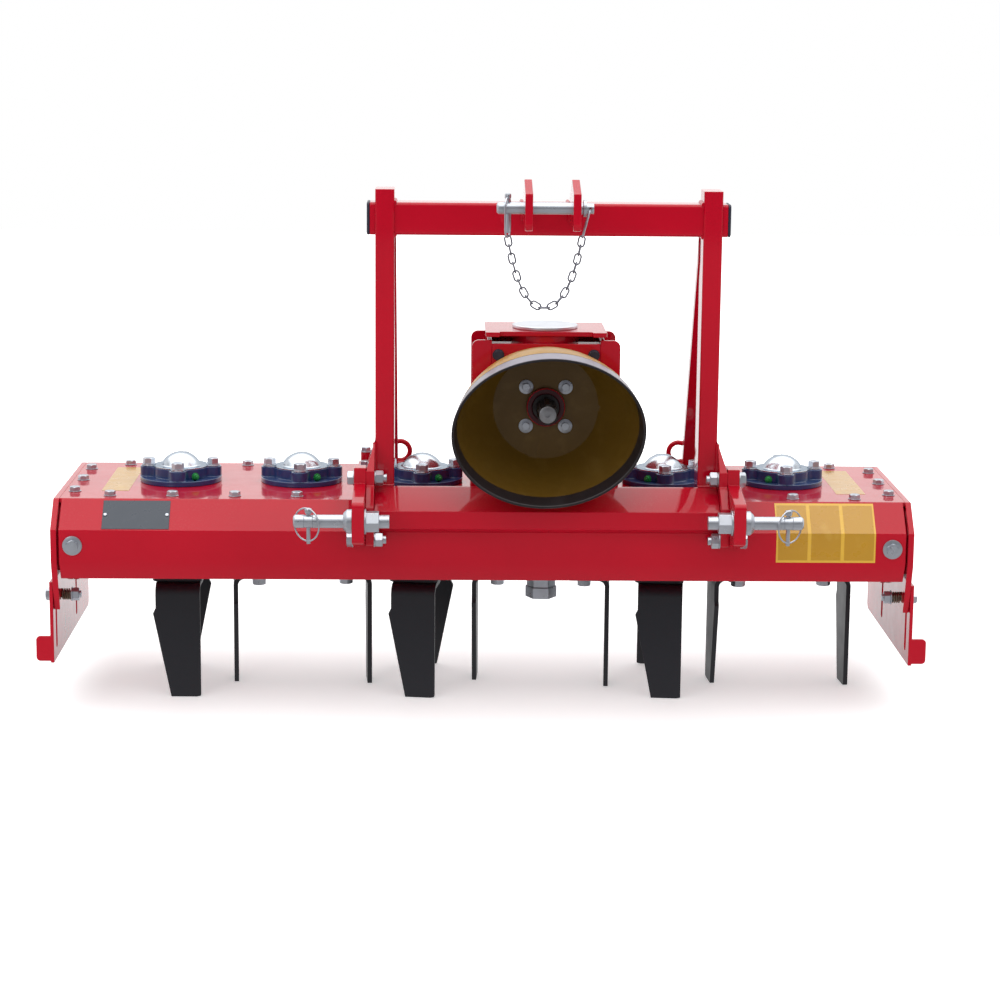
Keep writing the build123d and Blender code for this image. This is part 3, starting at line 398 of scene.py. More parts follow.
def wire_loop(name, length, width, wire, sides=8, steps=20):
    """A closed wire loop lying in x and y, pulled long from a ring."""
    settle()
    radius = (width - wire) / 2
    bpy.ops.mesh.primitive_torus_add(major_segments=steps, minor_segments=sides, major_radius=radius,
                                     minor_radius=wire / 2)
    loop = bpy.context.object
    loop.name = name
    pull = (length - width) / 2
    for side in (1, -1):
        pick_points(loop, lambda spot: spot.x * side > MERGE)
        bpy.ops.transform.translate(value=(side * pull, 0, 0))
        close_mesh()
    return coat(loop, 60, "zinc")


def weld_bead(name, start, end, radius):
    """A rippled bead of weld along a straight line between two points."""
    start = Vector(start)
    run = Vector(end) - start
    ripple = radius * 1.1
    count = max(3, int(run.length / ripple))
    settle()
    bpy.ops.mesh.primitive_cylinder_add(vertices=10, radius=radius, depth=ripple, end_fill_type="NOTHING",
                                        location=(0, 0, ripple / 2))
    bead = bpy.context.object
    fix_place(bead)
    pick_faces(bead, lambda centre, normal: True)
    bpy.ops.mesh.select_mode(type="EDGE")
    bpy.ops.mesh.subdivide(number_cuts=1)
    close_mesh()
    pick_points(bead, lambda spot: abs(spot.z - ripple / 2) < ripple * 0.1)
    bpy.ops.transform.resize(value=(1.16, 1.16, 1.0))
    close_mesh()
    press(bead, "ARRAY", count=count, use_relative_offset=True, relative_offset_displace=(0, 0, 1),
          use_merge_vertices=True, merge_threshold=0.0001)
    open_mesh(bead)
    bpy.ops.mesh.fill_holes(sides=0)
    bpy.ops.mesh.normals_make_consistent(inside=False)
    close_mesh()
    bead.data.transform(Matrix.Scale(run.length / (count * ripple), 4, Vector((0, 0, 1))))
    bead.data.transform(facing(start, run))
    bead.name = name
    coat(bead, 50, "red_paint")
    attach(bead, "frame")


# Finishes

def plug(tree, value, socket):
    """Set a socket to a number or colour, or link another socket to it."""
    if isinstance(value, (int, float, tuple)):
        socket.default_value = value
    else:
        tree.links.new(value, socket)


def new_group(name, inputs, outputs=("Colour", "Roughness", "Height")):
    """A node group with a socket for each named value, its object coordinates and its two ends."""
    group = bpy.data.node_groups.new(name, "ShaderNodeTree")
    for label, value in inputs.items():
        kind = "NodeSocketColor" if isinstance(value, tuple) else "NodeSocketFloat"
        group.interface.new_socket(name=label, in_out="INPUT", socket_type=kind).default_value = value
    for label in outputs:
        kind = "NodeSocketColor" if label == "Colour" else "NodeSocketFloat"
        group.interface.new_socket(name=label, in_out="OUTPUT", socket_type=kind)
    entry = group.nodes.new("NodeGroupInput").outputs
    leave = group.nodes.new("NodeGroupOutput").inputs
    place = group.nodes.new("ShaderNodeTexCoord").outputs["Object"]
    return group, entry, leave, place


def noise_on(tree, coordinates, scale, detail, stretch=None):
    """A noise texture on object coordinates, stretched along the axes if asked."""
    noise = tree.nodes.new("ShaderNodeTexNoise")
    noise.inputs["Detail"].default_value = detail
    plug(tree, scale, noise.inputs["Scale"])
    if stretch is not None:
        mapping = tree.nodes.new("ShaderNodeMapping")
        mapping.inputs["Scale"].default_value = stretch
        tree.links.new(coordinates, mapping.inputs["Vector"])
        coordinates = mapping.outputs["Vector"]
    tree.links.new(coordinates, noise.inputs["Vector"])
    return noise.outputs["Fac"]


def ranged(tree, value, low, high, bottom, top):
    """A value mapped from one range to another, each end a number or a socket."""
    node = tree.nodes.new("ShaderNodeMapRange")
    for label, amount in (("Value", value), ("From Min", low), ("From Max", high), ("To Min", bottom), ("To Max", top)):
        plug(tree, amount, node.inputs[label])
    return node.outputs["Result"]


def tinted(tree, share, first, second):
    """A colour between two colours, each a colour or a socket."""
    node = tree.nodes.new("ShaderNodeMix")
    node.data_type = "RGBA"
    tree.links.new(share, node.inputs["Factor"])
    plug(tree, first, node.inputs[6])
    plug(tree, second, node.inputs[7])
    return node.outputs[2]


def times(tree, first, second, kind="MULTIPLY"):
    """The product of two values, or what another kind of sum gives."""
    node = tree.nodes.new("ShaderNodeMath")
    node.operation = kind
    plug(tree, first, node.inputs[0])
    plug(tree, second, node.inputs[1])
    return node.outputs[0]


def along(tree, vector, axis):
    """One axis of a vector."""
    node = tree.nodes.new("ShaderNodeSeparateXYZ")
    tree.links.new(vector, node.inputs["Vector"])
    return node.outputs[axis]


def vary_roughness(group, entry, leave, noise, low, high):
    """Pass the roughness on, a little lower or higher from place to place."""
    change = ranged(group, noise, 0.3, 0.7, low, high)
    group.links.new(times(group, entry["Roughness"], change, "ADD"), leave["Roughness"])


def make_surface_groups():
    """The shared surface effects: settled dust, which also gives the guard lip an even pale tint on upward faces as
    painted light on its top, paint skin, plated grain and moulded grain.
    """
    group, entry, leave, place = new_group(
        "settled_dust",
        {"Colour": (1, 1, 1, 1), "Cover_colour": (0.42, 0.36, 0.30, 1), "Amount": 0.06, "Evenness": 0.0},
        ("Colour", "Mask"))
    normal = group.nodes.new("ShaderNodeNewGeometry").outputs["Normal"]
    upward = ranged(group, along(group, normal, "Z"), 0.2, 1.0, 0.0, 1.0)
    patches = ranged(group, noise_on(group, place, 9.0, 5.0), 0.38, 0.72, 0.0, 1.0)
    specks = ranged(group, noise_on(group, place, 310.0, 2.0), 0.52, 0.66, 0.0, 1.0)
    patches = times(group, patches, entry["Evenness"], "MAXIMUM")
    specks = times(group, specks, entry["Evenness"], "MAXIMUM")
    cover = times(group, times(group, upward, patches), times(group, specks, entry["Amount"]))
    group.links.new(tinted(group, cover, entry["Colour"], entry["Cover_colour"]), leave["Colour"])
    group.links.new(cover, leave["Mask"])

    group, entry, leave, place = new_group(
        "paint_skin", {"Colour": (1, 0, 0, 1), "Roughness": 0.3, "Ripple": 420.0})
    deep = group.nodes.new("ShaderNodeHueSaturation")
    group.links.new(entry["Colour"], deep.inputs["Color"])
    group.links.new(ranged(group, noise_on(group, place, 3.2, 4.0), 0.3, 0.7, 0.90, 1.07), deep.inputs["Value"])
    group.links.new(deep.outputs["Color"], leave["Colour"])
    vary_roughness(group, entry, leave, noise_on(group, place, 26.0, 6.0), -0.05, 0.06)
    peel = noise_on(group, place, entry["Ripple"], 2.0)
    waves = times(group, noise_on(group, place, 38.0, 2.0), 1.6)
    group.links.new(times(group, peel, waves, "ADD"), leave["Height"])

    group, entry, leave, place = new_group(
        "plated_grain", {"Colour": (0.7, 0.7, 0.7, 1), "Tarnish": (0.42, 0.40, 0.36, 1), "Roughness": 0.25})
    patches = ranged(group, noise_on(group, place, 60.0, 3.0), 0.45, 0.75, 0.0, 0.50)
    group.links.new(tinted(group, patches, entry["Colour"], entry["Tarnish"]), leave["Colour"])
    vary_roughness(group, entry, leave, noise_on(group, place, 90.0, 2.0), -0.03, 0.05)
    fine = noise_on(group, place, 900.0, 3.0)
    lines = noise_on(group, place, 240.0, 2.0, (0.12, 1.0, 1.0))
    group.links.new(times(group, fine, lines, "ADD"), leave["Height"])

    group, entry, leave, place = new_group(
        "moulded_grain",
        {"Colour": (0.7, 0.5, 0.1, 1), "Scuffs": (0.9, 0.8, 0.5, 1), "Roughness": 0.4, "Grain": 700.0})
    streaks = ranged(group, noise_on(group, place, 34.0, 7.0, (1.0, 0.35, 1.0)), 0.56, 0.80, 0.0, 0.22)
    group.links.new(tinted(group, streaks, entry["Colour"], entry["Scuffs"]), leave["Colour"])
    vary_roughness(group, entry, leave, noise_on(group, place, 45.0, 5.0), -0.06, 0.08)
    group.links.new(noise_on(group, place, entry["Grain"], 3.0), leave["Height"])


def new_finish(name, group, values, bump, distance, dust=0.0, bloom=None, **shader):
    """A material of one surface group, with specks of dust on upward faces where asked, or an even pale tint on them as
    painted light on the top.
    """
    finish = bpy.data.materials.new(name + "_finish")
    finish.use_nodes = True
    tree = finish.node_tree
    surface = tree.nodes["Principled BSDF"]
    for label, value in shader.items():
        surface.inputs[label.replace("_", " ")].default_value = value
    effect = tree.nodes.new("ShaderNodeGroup")
    effect.node_tree = bpy.data.node_groups[group]
    for label, value in values.items():
        effect.inputs[label].default_value = value
    colour = effect.outputs["Colour"]
    if dust > 0:
        cover = tree.nodes.new("ShaderNodeGroup")
        cover.node_tree = bpy.data.node_groups["settled_dust"]
        cover.inputs["Amount"].default_value = dust
        # With a colour given, the cover is an even pale tint on upward faces: painted light on the top.
        if bloom is not None:
            cover.inputs["Cover_colour"].default_value = bloom
            cover.inputs["Evenness"].default_value = 0.85
        tree.links.new(colour, cover.inputs["Colour"])
        colour = cover.outputs["Colour"]
    tree.links.new(colour, surface.inputs["Base Color"])
    tree.links.new(effect.outputs["Roughness"], surface.inputs["Roughness"])
    relief = tree.nodes.new("ShaderNodeBump")
    relief.inputs["Strength"].default_value = bump
    relief.inputs["Distance"].default_value = distance
    tree.links.new(effect.outputs["Height"], relief.inputs["Height"])
    tree.links.new(relief.outputs["Normal"], surface.inputs["Normal"])


def painted(name, colour, roughness, bump, distance=0.0010, ripple=420.0, **shader):
    values = {"Colour": (*colour, 1), "Roughness": roughness, "Ripple": ripple}
    new_finish(name, "paint_skin", values, bump, distance, **shader)


def metal(name, colour, tarnish, roughness, bump, distance=0.0002, metallic=1.0, **shader):
    values = {"Colour": (*colour, 1), "Tarnish": (*tarnish, 1), "Roughness": roughness}
    new_finish(name, "plated_grain", values, bump, distance, Metallic=metallic, **shader)


def plastic(name, colour, scuffs, roughness, bump, distance=0.0005, grain=700.0, **shader):
    values = {"Colour": (*colour, 1), "Scuffs": (*scuffs, 1), "Roughness": roughness, "Grain": grain}
    new_finish(name, "moulded_grain", values, bump, distance, **shader)


def make_finishes(paint):
    make_surface_groups()
    painted("red_paint", paint.red, paint.gloss, 0.05, 0.0006, dust=0.06, Specular_IOR_Level=0.03,
            Coat_Weight=1.0, Coat_Roughness=0.05, Coat_IOR=1.40)
    painted("navy_paint", paint.navy, 0.38, 0.16, ripple=210.0, dust=0.06, Specular_IOR_Level=0.25,
            Coat_Weight=1.0, Coat_Roughness=0.14)
    painted("black_steel", paint.tine, 0.46, 0.16, ripple=260.0, dust=0.08, Coat_Weight=0.15, Coat_Roughness=0.30)

    metal("zinc", paint.zinc, (0.49, 0.50, 0.52), 0.30, 0.01, metallic=0.85, Specular_Tint=(0.75, 0.78, 0.82, 1))
    metal("pressed_steel", (0.58, 0.62, 0.67), (0.50, 0.53, 0.57), 0.24, 0.01, Specular_Tint=(0.55, 0.60, 0.66, 1))
    metal("oiled_steel", (0.075, 0.070, 0.068), (0.03, 0.024, 0.02), 0.42, 0.05, 0.0003)
    metal("bare_steel", paint.steel, (0.16, 0.13, 0.10), 0.36, 0.10, 0.0005)
    metal("spring_steel", (0.30, 0.24, 0.18), (0.16, 0.08, 0.04), 0.40, 0.10, 0.0005)
    metal("chain_zinc", (0.24, 0.25, 0.29), (0.34, 0.34, 0.37), 0.46, 0.02, metallic=0.8,
          Specular_Tint=(0.45, 0.47, 0.52, 1))
    metal("cap_plate", (0.80, 0.82, 0.86), (0.68, 0.69, 0.72), 0.34, 0.02, metallic=0.9,
          Specular_Tint=(0.85, 0.87, 0.90, 1))

    # Dark maroon for the housing's snout round the shaft: painted shade deep in the guard.
    plastic("shaft_seal", (0.060, 0.003, 0.008), (0.10, 0.02, 0.02), 0.50, 0.05, 0.0004)
    plastic("yellow_plastic", paint.guard, (0.80, 0.62, 0.25), 0.34, 0.05, 0.0006,
            Coat_Weight=0.25, Coat_Roughness=0.2)
    # Darker copy of the guard yellow for the bell's inside faces: painted shade.
    plastic("guard_inside", paint.guard_inside, (0.24, 0.15, 0.04), 0.42, 0.05, 0.0006, Specular_IOR_Level=0.3)
    rubber = (paint.rubber, (0.05, 0.045, 0.05), 0.36, 0.06, 0.0005, 520.0)
    plastic("black_rubber", *rubber)
    # The lip's upward faces take an even pale lavender tint: painted light on its top.
    plastic("rubber_lit_top", *rubber, dust=0.85, bloom=(0.42, 0.40, 0.50, 1), Coat_Weight=0.5, Coat_Roughness=0.24)
    plastic("green_plastic", paint.plug, (0.10, 0.55, 0.22), 0.28, 0.05, 0.0004)
    plastic("black_plastic", paint.cap, (0.09, 0.09, 0.13), 0.40, 0.10)
    plastic("sticker", paint.sticker, (0.90, 0.66, 0.18), 0.30, 0.03, 0.0003, 1500.0,
            Coat_Weight=0.5, Coat_Roughness=0.12)
    plastic("sticker_border", (0.72, 0.42, 0.030), (0.86, 0.62, 0.16), 0.30, 0.03, 0.0003, 1500.0,
            Coat_Weight=0.5, Coat_Roughness=0.12)
    plastic("data_plate", paint.plate, (0.20, 0.22, 0.26), 0.30, 0.03, 0.0003, 1300.0,
            Coat_Weight=0.4, Coat_Roughness=0.15)


# Stage

def make_floor(stage):
    """A pale floor that keeps the shadow, and glows to white away from the harrow."""
    settle()
    bpy.ops.mesh.primitive_grid_add(x_subdivisions=2, y_subdivisions=2, size=2 * stage.floor,
                                    location=(0, 0, -0.0004))
    floor = bpy.context.object
    floor.name = "floor"
    fix_place(floor)
    pale = bpy.data.materials.new("pale_floor")
    pale.use_nodes = True
    tree = pale.node_tree
    surface = tree.nodes["Principled BSDF"].inputs
    surface["Roughness"].default_value = 0.7
    surface["Specular IOR Level"].default_value = 0.25
    place = tree.nodes.new("ShaderNodeTexCoord").outputs["Object"]
    path = tree.nodes.new("ShaderNodeLightPath").outputs
    ground = tinted(tree, noise_on(tree, place, 1.4, 4.0), (0.80, 0.80, 0.81, 1), (0.84, 0.84, 0.84, 1))
    ground = tinted(tree, path["Is Glossy Ray"], ground, (0.10, 0.10, 0.11, 1))
    tree.links.new(ground, surface["Base Color"])
    distance = tree.nodes.new("ShaderNodeVectorMath")
    distance.operation = "LENGTH"
    tree.links.new(place, distance.inputs[0])
    glow = ranged(tree, distance.outputs["Value"], 1.0, 2.6, 0.42, 1.3)
    sheen = ranged(tree, along(tree, place, "Y"), -0.6, 0.9, 0.22, 1.0)
    seen = times(tree, path["Is Camera Ray"], glow)
    shone = times(tree, path["Is Glossy Ray"], sheen)
    surface["Emission Color"].default_value = (1, 1, 1, 1)
    tree.links.new(times(tree, seen, shone, "MAXIMUM"), surface["Emission Strength"])
    floor.data.materials.append(pale)


def background(tree, strength, colour=(1, 1, 1, 1)):
    node = tree.nodes.new("ShaderNodeBackground")
    plug(tree, colour, node.inputs["Color"])
    node.inputs["Strength"].default_value = strength
    return node.outputs["Background"]


def blended(tree, share, first, second):
    """A shader between two shaders."""
    node = tree.nodes.new("ShaderNodeMixShader")
    for index, value in enumerate((share, first, second)):
        tree.links.new(value, node.inputs[index])
    return node.outputs["Shader"]


def make_world(stage):
    """Even light, a darker front to mirror in gloss, and white where the camera looks."""
    world = bpy.data.worlds.new("studio")
    world.use_nodes = True
    bpy.context.scene.world = world
    tree = world.node_tree
    tree.nodes.clear()
    leave = tree.nodes.new("ShaderNodeOutputWorld")
    around = tree.nodes.new("ShaderNodeTexCoord").outputs["Generated"]
    behind = ranged(tree, along(tree, around, "Y"), -0.45, 0.45, 0.0, 1.0)
    above = ranged(tree, along(tree, around, "Z"), 0.30, 0.85, 0.0, 1.0)
    bright = times(tree, behind, above, "MAXIMUM")
    mirrored = tinted(tree, bright, (0.10, 0.10, 0.12, 1), (1.0, 1.0, 1.0, 1))
    path = tree.nodes.new("ShaderNodeLightPath").outputs
    shiny = blended(tree, path["Is Glossy Ray"], background(tree, stage.fill), background(tree, 1.1, mirrored))
    direct = times(tree, path["Is Camera Ray"], path["Is Transmission Ray"], "MAXIMUM")
    tree.links.new(blended(tree, direct, shiny, background(tree, 1.0)), leave.inputs["Surface"])


def make_lamps(stage):
    lamps = [
        ("overhead", (0.0, 0.2, 4.0), (0.0, 0.05, 0.4), 9.0, 7.0, stage.overhead),
        ("front_left", (-2.4, -3.8, 2.0), (0.0, 0.0, 0.4), 1.6, 1.6, stage.front),
    ]
    for name, spot, target, wide, deep, power in lamps:
        lamp = bpy.data.lights.new(name, "AREA")
        lamp.shape = "RECTANGLE"
        lamp.size = wide
        lamp.size_y = deep
        lamp.energy = power
        holder = bpy.data.objects.new(name, lamp)
        holder.location = spot
        holder.rotation_euler = (Vector(target) - Vector(spot)).to_track_quat("-Z", "Y").to_euler()
        bpy.context.scene.collection.objects.link(holder)


def make_camera(stage):
    """The camera, turned by its yaw, pitch and roll from looking along y."""
    camera = bpy.data.cameras.new("camera")
    camera.lens = stage.lens
    camera.sensor_width = 36.0
    ahead = Vector((math.sin(stage.yaw), math.cos(stage.yaw), 0))
    right = Vector((math.cos(stage.yaw), -math.sin(stage.yaw), 0))
    up = Vector((0, 0, 1))
    look = ahead * math.cos(stage.pitch) - up * math.sin(stage.pitch)
    rise = up * math.cos(stage.pitch) + ahead * math.sin(stage.pitch)
    across = right * math.cos(stage.roll) + rise * math.sin(stage.roll)
    top = rise * math.cos(stage.roll) - right * math.sin(stage.roll)
    holder = bpy.data.objects.new("camera", camera)
    holder.matrix_world = Matrix.Translation(Vector(stage.eye)) @ turn_to(across, top, -look)
    bpy.context.scene.collection.objects.link(holder)
    bpy.context.scene.camera = holder


# Pieces that more than one operator makes

UP = (0, 0, 1)
RING_UPRIGHT = Matrix.Rotation(math.pi / 2, 4, "X") @ Matrix.Rotation(math.pi / 2, 4, "Z")


def lid_bolt_pattern(name, hardware, washer):
    """The small bolt of the lid, also used on the feet and the gearbox neck."""
    return bolt_pattern(name, hardware.lid_bolt, 0.0070, washer, 0.0018)


def linch_pin(node, parts, ring, spot, body="frame"):
    """Join the turned parts and the ring of a linch pin, and put it in its node's place."""
    for part in parts:
        coat(part, 40, "zinc")
    linch = join(parts + [ring], node + "_finish")
    linch.data.transform(Matrix.Translation(spot))
    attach(linch, body)
    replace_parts(linch, node)


def sheet(name, corners, thick, finish):
    """A thin sheet on four corners, lifted off its ground along its normal."""
    settle()
    bpy.ops.mesh.primitive_plane_add(size=1.0)
    piece = bpy.context.object
    piece.name = name
    for index, corner in zip((0, 1, 3, 2), corners):
        piece.data.vertices[index].co = corner
    fix_place(piece)
    press(piece, "SOLIDIFY", thickness=thick, offset=1.0)
    round_edges(piece, thick * 0.3, 1)
    paint_with(piece, finish)
    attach(piece, "frame")


def on_slope(x, share, lift=0.0):
    """A point on the front slope of the trough, from the lid's edge at 0 to the shoulder at 1."""
    return on_lid(x, SHOULDER_Y + SHOULDER_RUN * (1 - share), -SHOULDER_DROP * share) + SLOPE_OUT * lift


def on_wall(x, drop, lift=0.0):
    """A point on the front wall of the trough, under the shoulder."""
    return on_lid(x, SHOULDER_Y - lift, -drop)


def corners_on(place, left, right, near, far, lift=0.0):
    return [place(x, depth, lift) for x, depth in ((left, near), (right, near), (right, far), (left, far))]


# Operators

class HARROW_OT_stage(bpy.types.Operator):
    """Set up the pale floor, the soft lights and the camera"""
    bl_idname = "harrow.stage"
    bl_label = "Stage"

    def execute(self, context):
        stage = context.scene.harrow_stage
        make_floor(stage)
        make_world(stage)
        make_lamps(stage)
        make_camera(stage)
        context.scene.view_settings.view_transform = "Standard"
        return {"FINISHED"}


class HARROW_OT_finishes(bpy.types.Operator):
    """Build the paints, platings and plastics"""
    bl_idname = "harrow.finishes"
    bl_label = "Finishes"

    def execute(self, context):
        make_finishes(context.scene.harrow_paint)
        return {"FINISHED"}


class HARROW_OT_trough(bpy.types.Operator):
    """Dress the trough, its lid and its end plates"""
    bl_idname = "harrow.trough"
    bl_label = "Trough"

    def execute(self, context):
        edge = context.scene.harrow_hardware.edge
        for node in ("trough_body", "trough_lid", "end_plate_left", "end_plate_right"):
            dressed(node, "red_paint", edge)
        return {"FINISHED"}


class HARROW_OT_lid_bolts(bpy.types.Operator):
    """Bolt the lid down and plug the ends of the trough"""
    bl_idname = "harrow.lid_bolts"
    bl_label = "Lid bolts"

    def execute(self, context):
        hardware = context.scene.harrow_hardware
        brace_foot = (0.29, 0.34)
        end_row_x = 0.694
        places = []
        for step in range(-6, 7):
            x = step * hardware.lid_pitch
            places.append(facing(on_lid(x, -hardware.lid_row), UP, step * 0.9))
            if not brace_foot[0] <= abs(x - HITCH_X) <= brace_foot[1]:
                places.append(facing(on_lid(x, hardware.lid_row), UP, step * 0.7 + 0.3))
        for side in (-1, 1):
            for number, y in enumerate((-0.110, -0.005, 0.102)):
                places.append(facing(on_lid(side * end_row_x, y), UP, number * 0.5 + side))
        spread(lid_bolt_pattern("lid_bolt", hardware, hardware.lid_bolt * 1.28), places, "lid_bolts")

        plug_x = 0.6855
        plug_drop = 0.0717
        disc = round_block("plug_disc", radius=0.0165, height=0.0030, edge=0.0012, sides=40)
        head = hex_block("plug_head", across=0.0190, height=0.0055, base=0.0030)
        plug = coat(join([disc, head], "end_plug"), 40, "zinc")
        places = [facing(on_lid(side * plug_x, -wall * SHOULDER_Y, -plug_drop), (0, wall, 0))
                  for wall in (-1, 1) for side in (-1, 1)]
        spread(plug, places, "end_plugs")
        return {"FINISHED"}


class HARROW_OT_bearings(bpy.types.Operator):
    """Dress the bearing castings, their pressed covers, bolts and grease plugs"""
    bl_idname = "harrow.bearings"
    bl_label = "Bearings"

    def execute(self, context):
        hardware = context.scene.harrow_hardware
        dressed("bearing_housings", "navy_paint", hardware.casting_edge * 0.6, segments=3, flatten=False)
        dressed("bearing_covers", "pressed_steel", 0.0006, smooth_angle=40)
        dressed("lower_bearings", "navy_paint", hardware.casting_edge)
        bolt = bolt_pattern("bearing_bolt", hardware.bearing_bolt, head=0.0100,
                            washer=hardware.bearing_bolt * 1.25, washer_thick=0.0020)
        bolt_circle = 0.0555
        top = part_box("bearing_housings")[1].z + 0.002
        places = []
        for number in UPPER_UNITS:
            for quarter in range(4):
                turn = quarter * math.pi / 2
                spot = Vector((rotor_x(number) + bolt_circle * math.cos(turn),
                               ROW_Y + bolt_circle * math.sin(turn), top))
                places.append(facing(spot, UP, number + quarter * 1.3))
        spread(bolt, places, "bearing_bolts")

        stem = round_block("plug_stem", radius=0.0052, height=0.0065, edge=0.0012, sides=20)
        collar = round_block("plug_collar", radius=0.0068, height=0.0022, edge=0.0007, sides=24)
        tip = round_block("plug_tip", radius=0.0030, height=0.0030, base=0.0062, edge=0.0010, sides=16)
        plug = coat(join([collar, stem, tip], "grease_plug"), 40, "green_plastic")
        plug_rise = 0.0135
        plug_circle = 0.0485
        places = []
        for number in UPPER_UNITS:
            angle = math.radians(-55 if number < 4 else -125)
            aim = Vector((math.cos(angle), math.sin(angle), 0))
            places.append(facing(on_lid(rotor_x(number), 0, plug_rise) + aim * plug_circle, aim))
        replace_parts(spread(plug, places, "grease_plugs_finish"), "grease_plugs")
        return {"FINISHED"}


class HARROW_OT_hitch_frame(bpy.types.Operator):
    """Dress the posts, top tube, beam, braces and plates of the hitch, with their welds"""
    bl_idname = "harrow.hitch_frame"
    bl_label = "Hitch frame"

    def execute(self, context):
        hardware = context.scene.harrow_hardware
        for node in ("top_tube", "hitch_beam", "gusset_left", "gusset_right", "pin_plate_left", "pin_plate_right"):
            dressed(node, "red_paint", hardware.edge)
        for node in ("post_left", "post_right", "brace_left", "brace_right"):
            dressed(node, "red_paint", hardware.edge * 0.6)
        dressed("top_link_lugs", "red_paint", 0.0016, segments=3)
        dressed("tube_caps", "black_plastic", 0.0018, segments=3)
        dressed("lifting_eyes", "red_paint", 0.0)

        bead = hardware.bead
        beam_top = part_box("hitch_beam")[1].z
        tube_low, tube_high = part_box("top_tube")
        tube_edges = (((tube_low.y, tube_low.z), (tube_high.y, tube_low.z)),
                      ((tube_low.y, tube_high.z), (tube_high.y, tube_high.z)),
                      ((tube_high.y, tube_low.z), (tube_high.y, tube_high.z)))
        for side, label in SIDES:
            low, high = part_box("post_" + label)
            inner = low.x if side > 0 else high.x
            for number, (start, end) in enumerate(tube_edges):
                weld_bead("tube_weld_%s_%d" % (label, number), (inner, *start), (inner, *end), bead)
            front = low.y - 0.0005
            weld_bead("foot_weld_" + label, (low.x, front, beam_top), (high.x, front, beam_top), bead)
            weld_bead("foot_weld_side_" + label, (inner, low.y, DECK_Z), (inner, high.y, DECK_Z), bead)
            weld_bead("foot_weld_back_" + label, (low.x, high.y, DECK_Z), (high.x, high.y, DECK_Z), bead)
            gusset_low, gusset_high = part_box("gusset_" + label)
            face = gusset_low.x if side > 0 else gusset_high.x
            weld_bead("gusset_weld_" + label, (face, low.y, DECK_Z + 0.024), (face, low.y, gusset_high.z - 0.004), bead)

        lug_thick = 0.0125
        lug_low, lug_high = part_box("top_link_lugs")
        for number, x in enumerate((lug_low.x, lug_low.x + lug_thick, lug_high.x - lug_thick, lug_high.x)):
            front = tube_low.y
            weld_bead("lug_weld_%d" % number, (x, front, lug_low.z + 0.004), (x, front, tube_high.z - 0.005),
                      bead * 0.8)
            weld_bead("lug_weld_top_%d" % number, (x, front + 0.003, tube_high.z), (x, tube_high.y, tube_high.z),
                      bead * 0.8)
        return {"FINISHED"}


class HARROW_OT_hitch_bolts(bpy.types.Operator):
    """Bolt the pin plates to the gussets, and the brace feet to the lid"""
    bl_idname = "harrow.hitch_bolts"
    bl_label = "Hitch bolts"

    def execute(self, context):
        hardware = context.scene.harrow_hardware
        bolt = bolt_pattern("hitch_bolt", hardware.hitch_bolt, head=0.0095, washer=0.026, washer_thick=0.0020)
        nut = nut_pattern("hitch_nut", hardware.hitch_bolt, height=0.0130, thread=0.0140, reach=0.0120,
                          washer=0.026, washer_thick=0.0020)
        heads = []
        nuts = []
        for side, label in SIDES:
            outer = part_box("pin_plate_" + label)[0 if side < 0 else 1].x
            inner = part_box("gusset_" + label)[1 if side < 0 else 0].x
            for y, z in ((-0.190, 0.0405), (-0.190, -0.026), (-0.236, -0.055)):
                heads.append(facing(on_lid(outer, y, z), (side, 0, 0), y * 40))
                nuts.append(facing(on_lid(inner, y, z), (-side, 0, 0), z * 50))
        spread(bolt, heads, "hitch_bolts")
        spread(nut, nuts, "hitch_nuts")

        foot_x = 0.3125
        foot_thick = 0.008
        spacer_y = 0.148
        spacer_height = 0.018
        feet = []
        spacers = []
        for side in (-1, 1):
            x = HITCH_X + side * foot_x
            feet.append(facing(on_lid(x, 0.108, foot_thick), UP, side))
            feet.append(facing(on_lid(x, spacer_y, foot_thick + spacer_height), UP, side * 2))
            spacers.append(facing(on_lid(x, spacer_y, foot_thick), UP))
        spacer = round_block("foot_spacer", radius=0.0095, height=spacer_height, edge=0.0010, sides=32)
        spread(coat(spacer, 40, "red_paint"), spacers, "foot_spacers")
        spread(lid_bolt_pattern("foot_bolt", hardware, hardware.lid_bolt * 1.28), feet, "foot_bolts")
        return {"FINISHED"}


class HARROW_OT_link_pins(bpy.types.Operator):
    """Dress the link pins, and close the rings of the linch pins"""
    bl_idname = "harrow.link_pins"
    bl_label = "Link pins"

    def execute(self, context):
        wire = 0.0028
        hole_from_tip = 0.025
        for side, label in SIDES:
            dressed("lower_link_pin_" + label, "zinc", 0.0007)
            low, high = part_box("lower_link_pin_" + label)
            x = low.x + hole_from_tip if side < 0 else high.x - hole_from_tip
            middle = node_middle("lower_link_pin_" + label)
            shaft = round_block("linch_shaft", radius=0.0035, height=0.0505, base=-0.0375, edge=0.0009, sides=24)
            head = round_block("linch_head", radius=0.0062, height=0.0095, base=0.0125, edge=0.0030, sides=28)
            cross = round_block("linch_cross", radius=0.0024, height=0.0150, base=-0.0075, edge=0.0006, sides=16)
            swing = Matrix.Rotation(side * math.radians(38), 4, "Z")
            lying = Matrix.Rotation(math.pi / 2, 4, "Y")
            cross.data.transform(Matrix.Translation((0, 0, 0.0185)) @ swing @ lying)
            ring = wire_loop("linch_ring", length=0.0570, width=0.0560, wire=wire, sides=10, steps=40)
            ring.data.transform(Matrix.Translation((side * 0.0030, 0, -0.0055)) @ swing @ RING_UPRIGHT)
            linch_pin("linch_" + label, [shaft, head, cross], ring, (x, middle.y, middle.z), "linch_" + label)
        dressed("top_link_pin", "zinc", 0.0006)
        return {"FINISHED"}


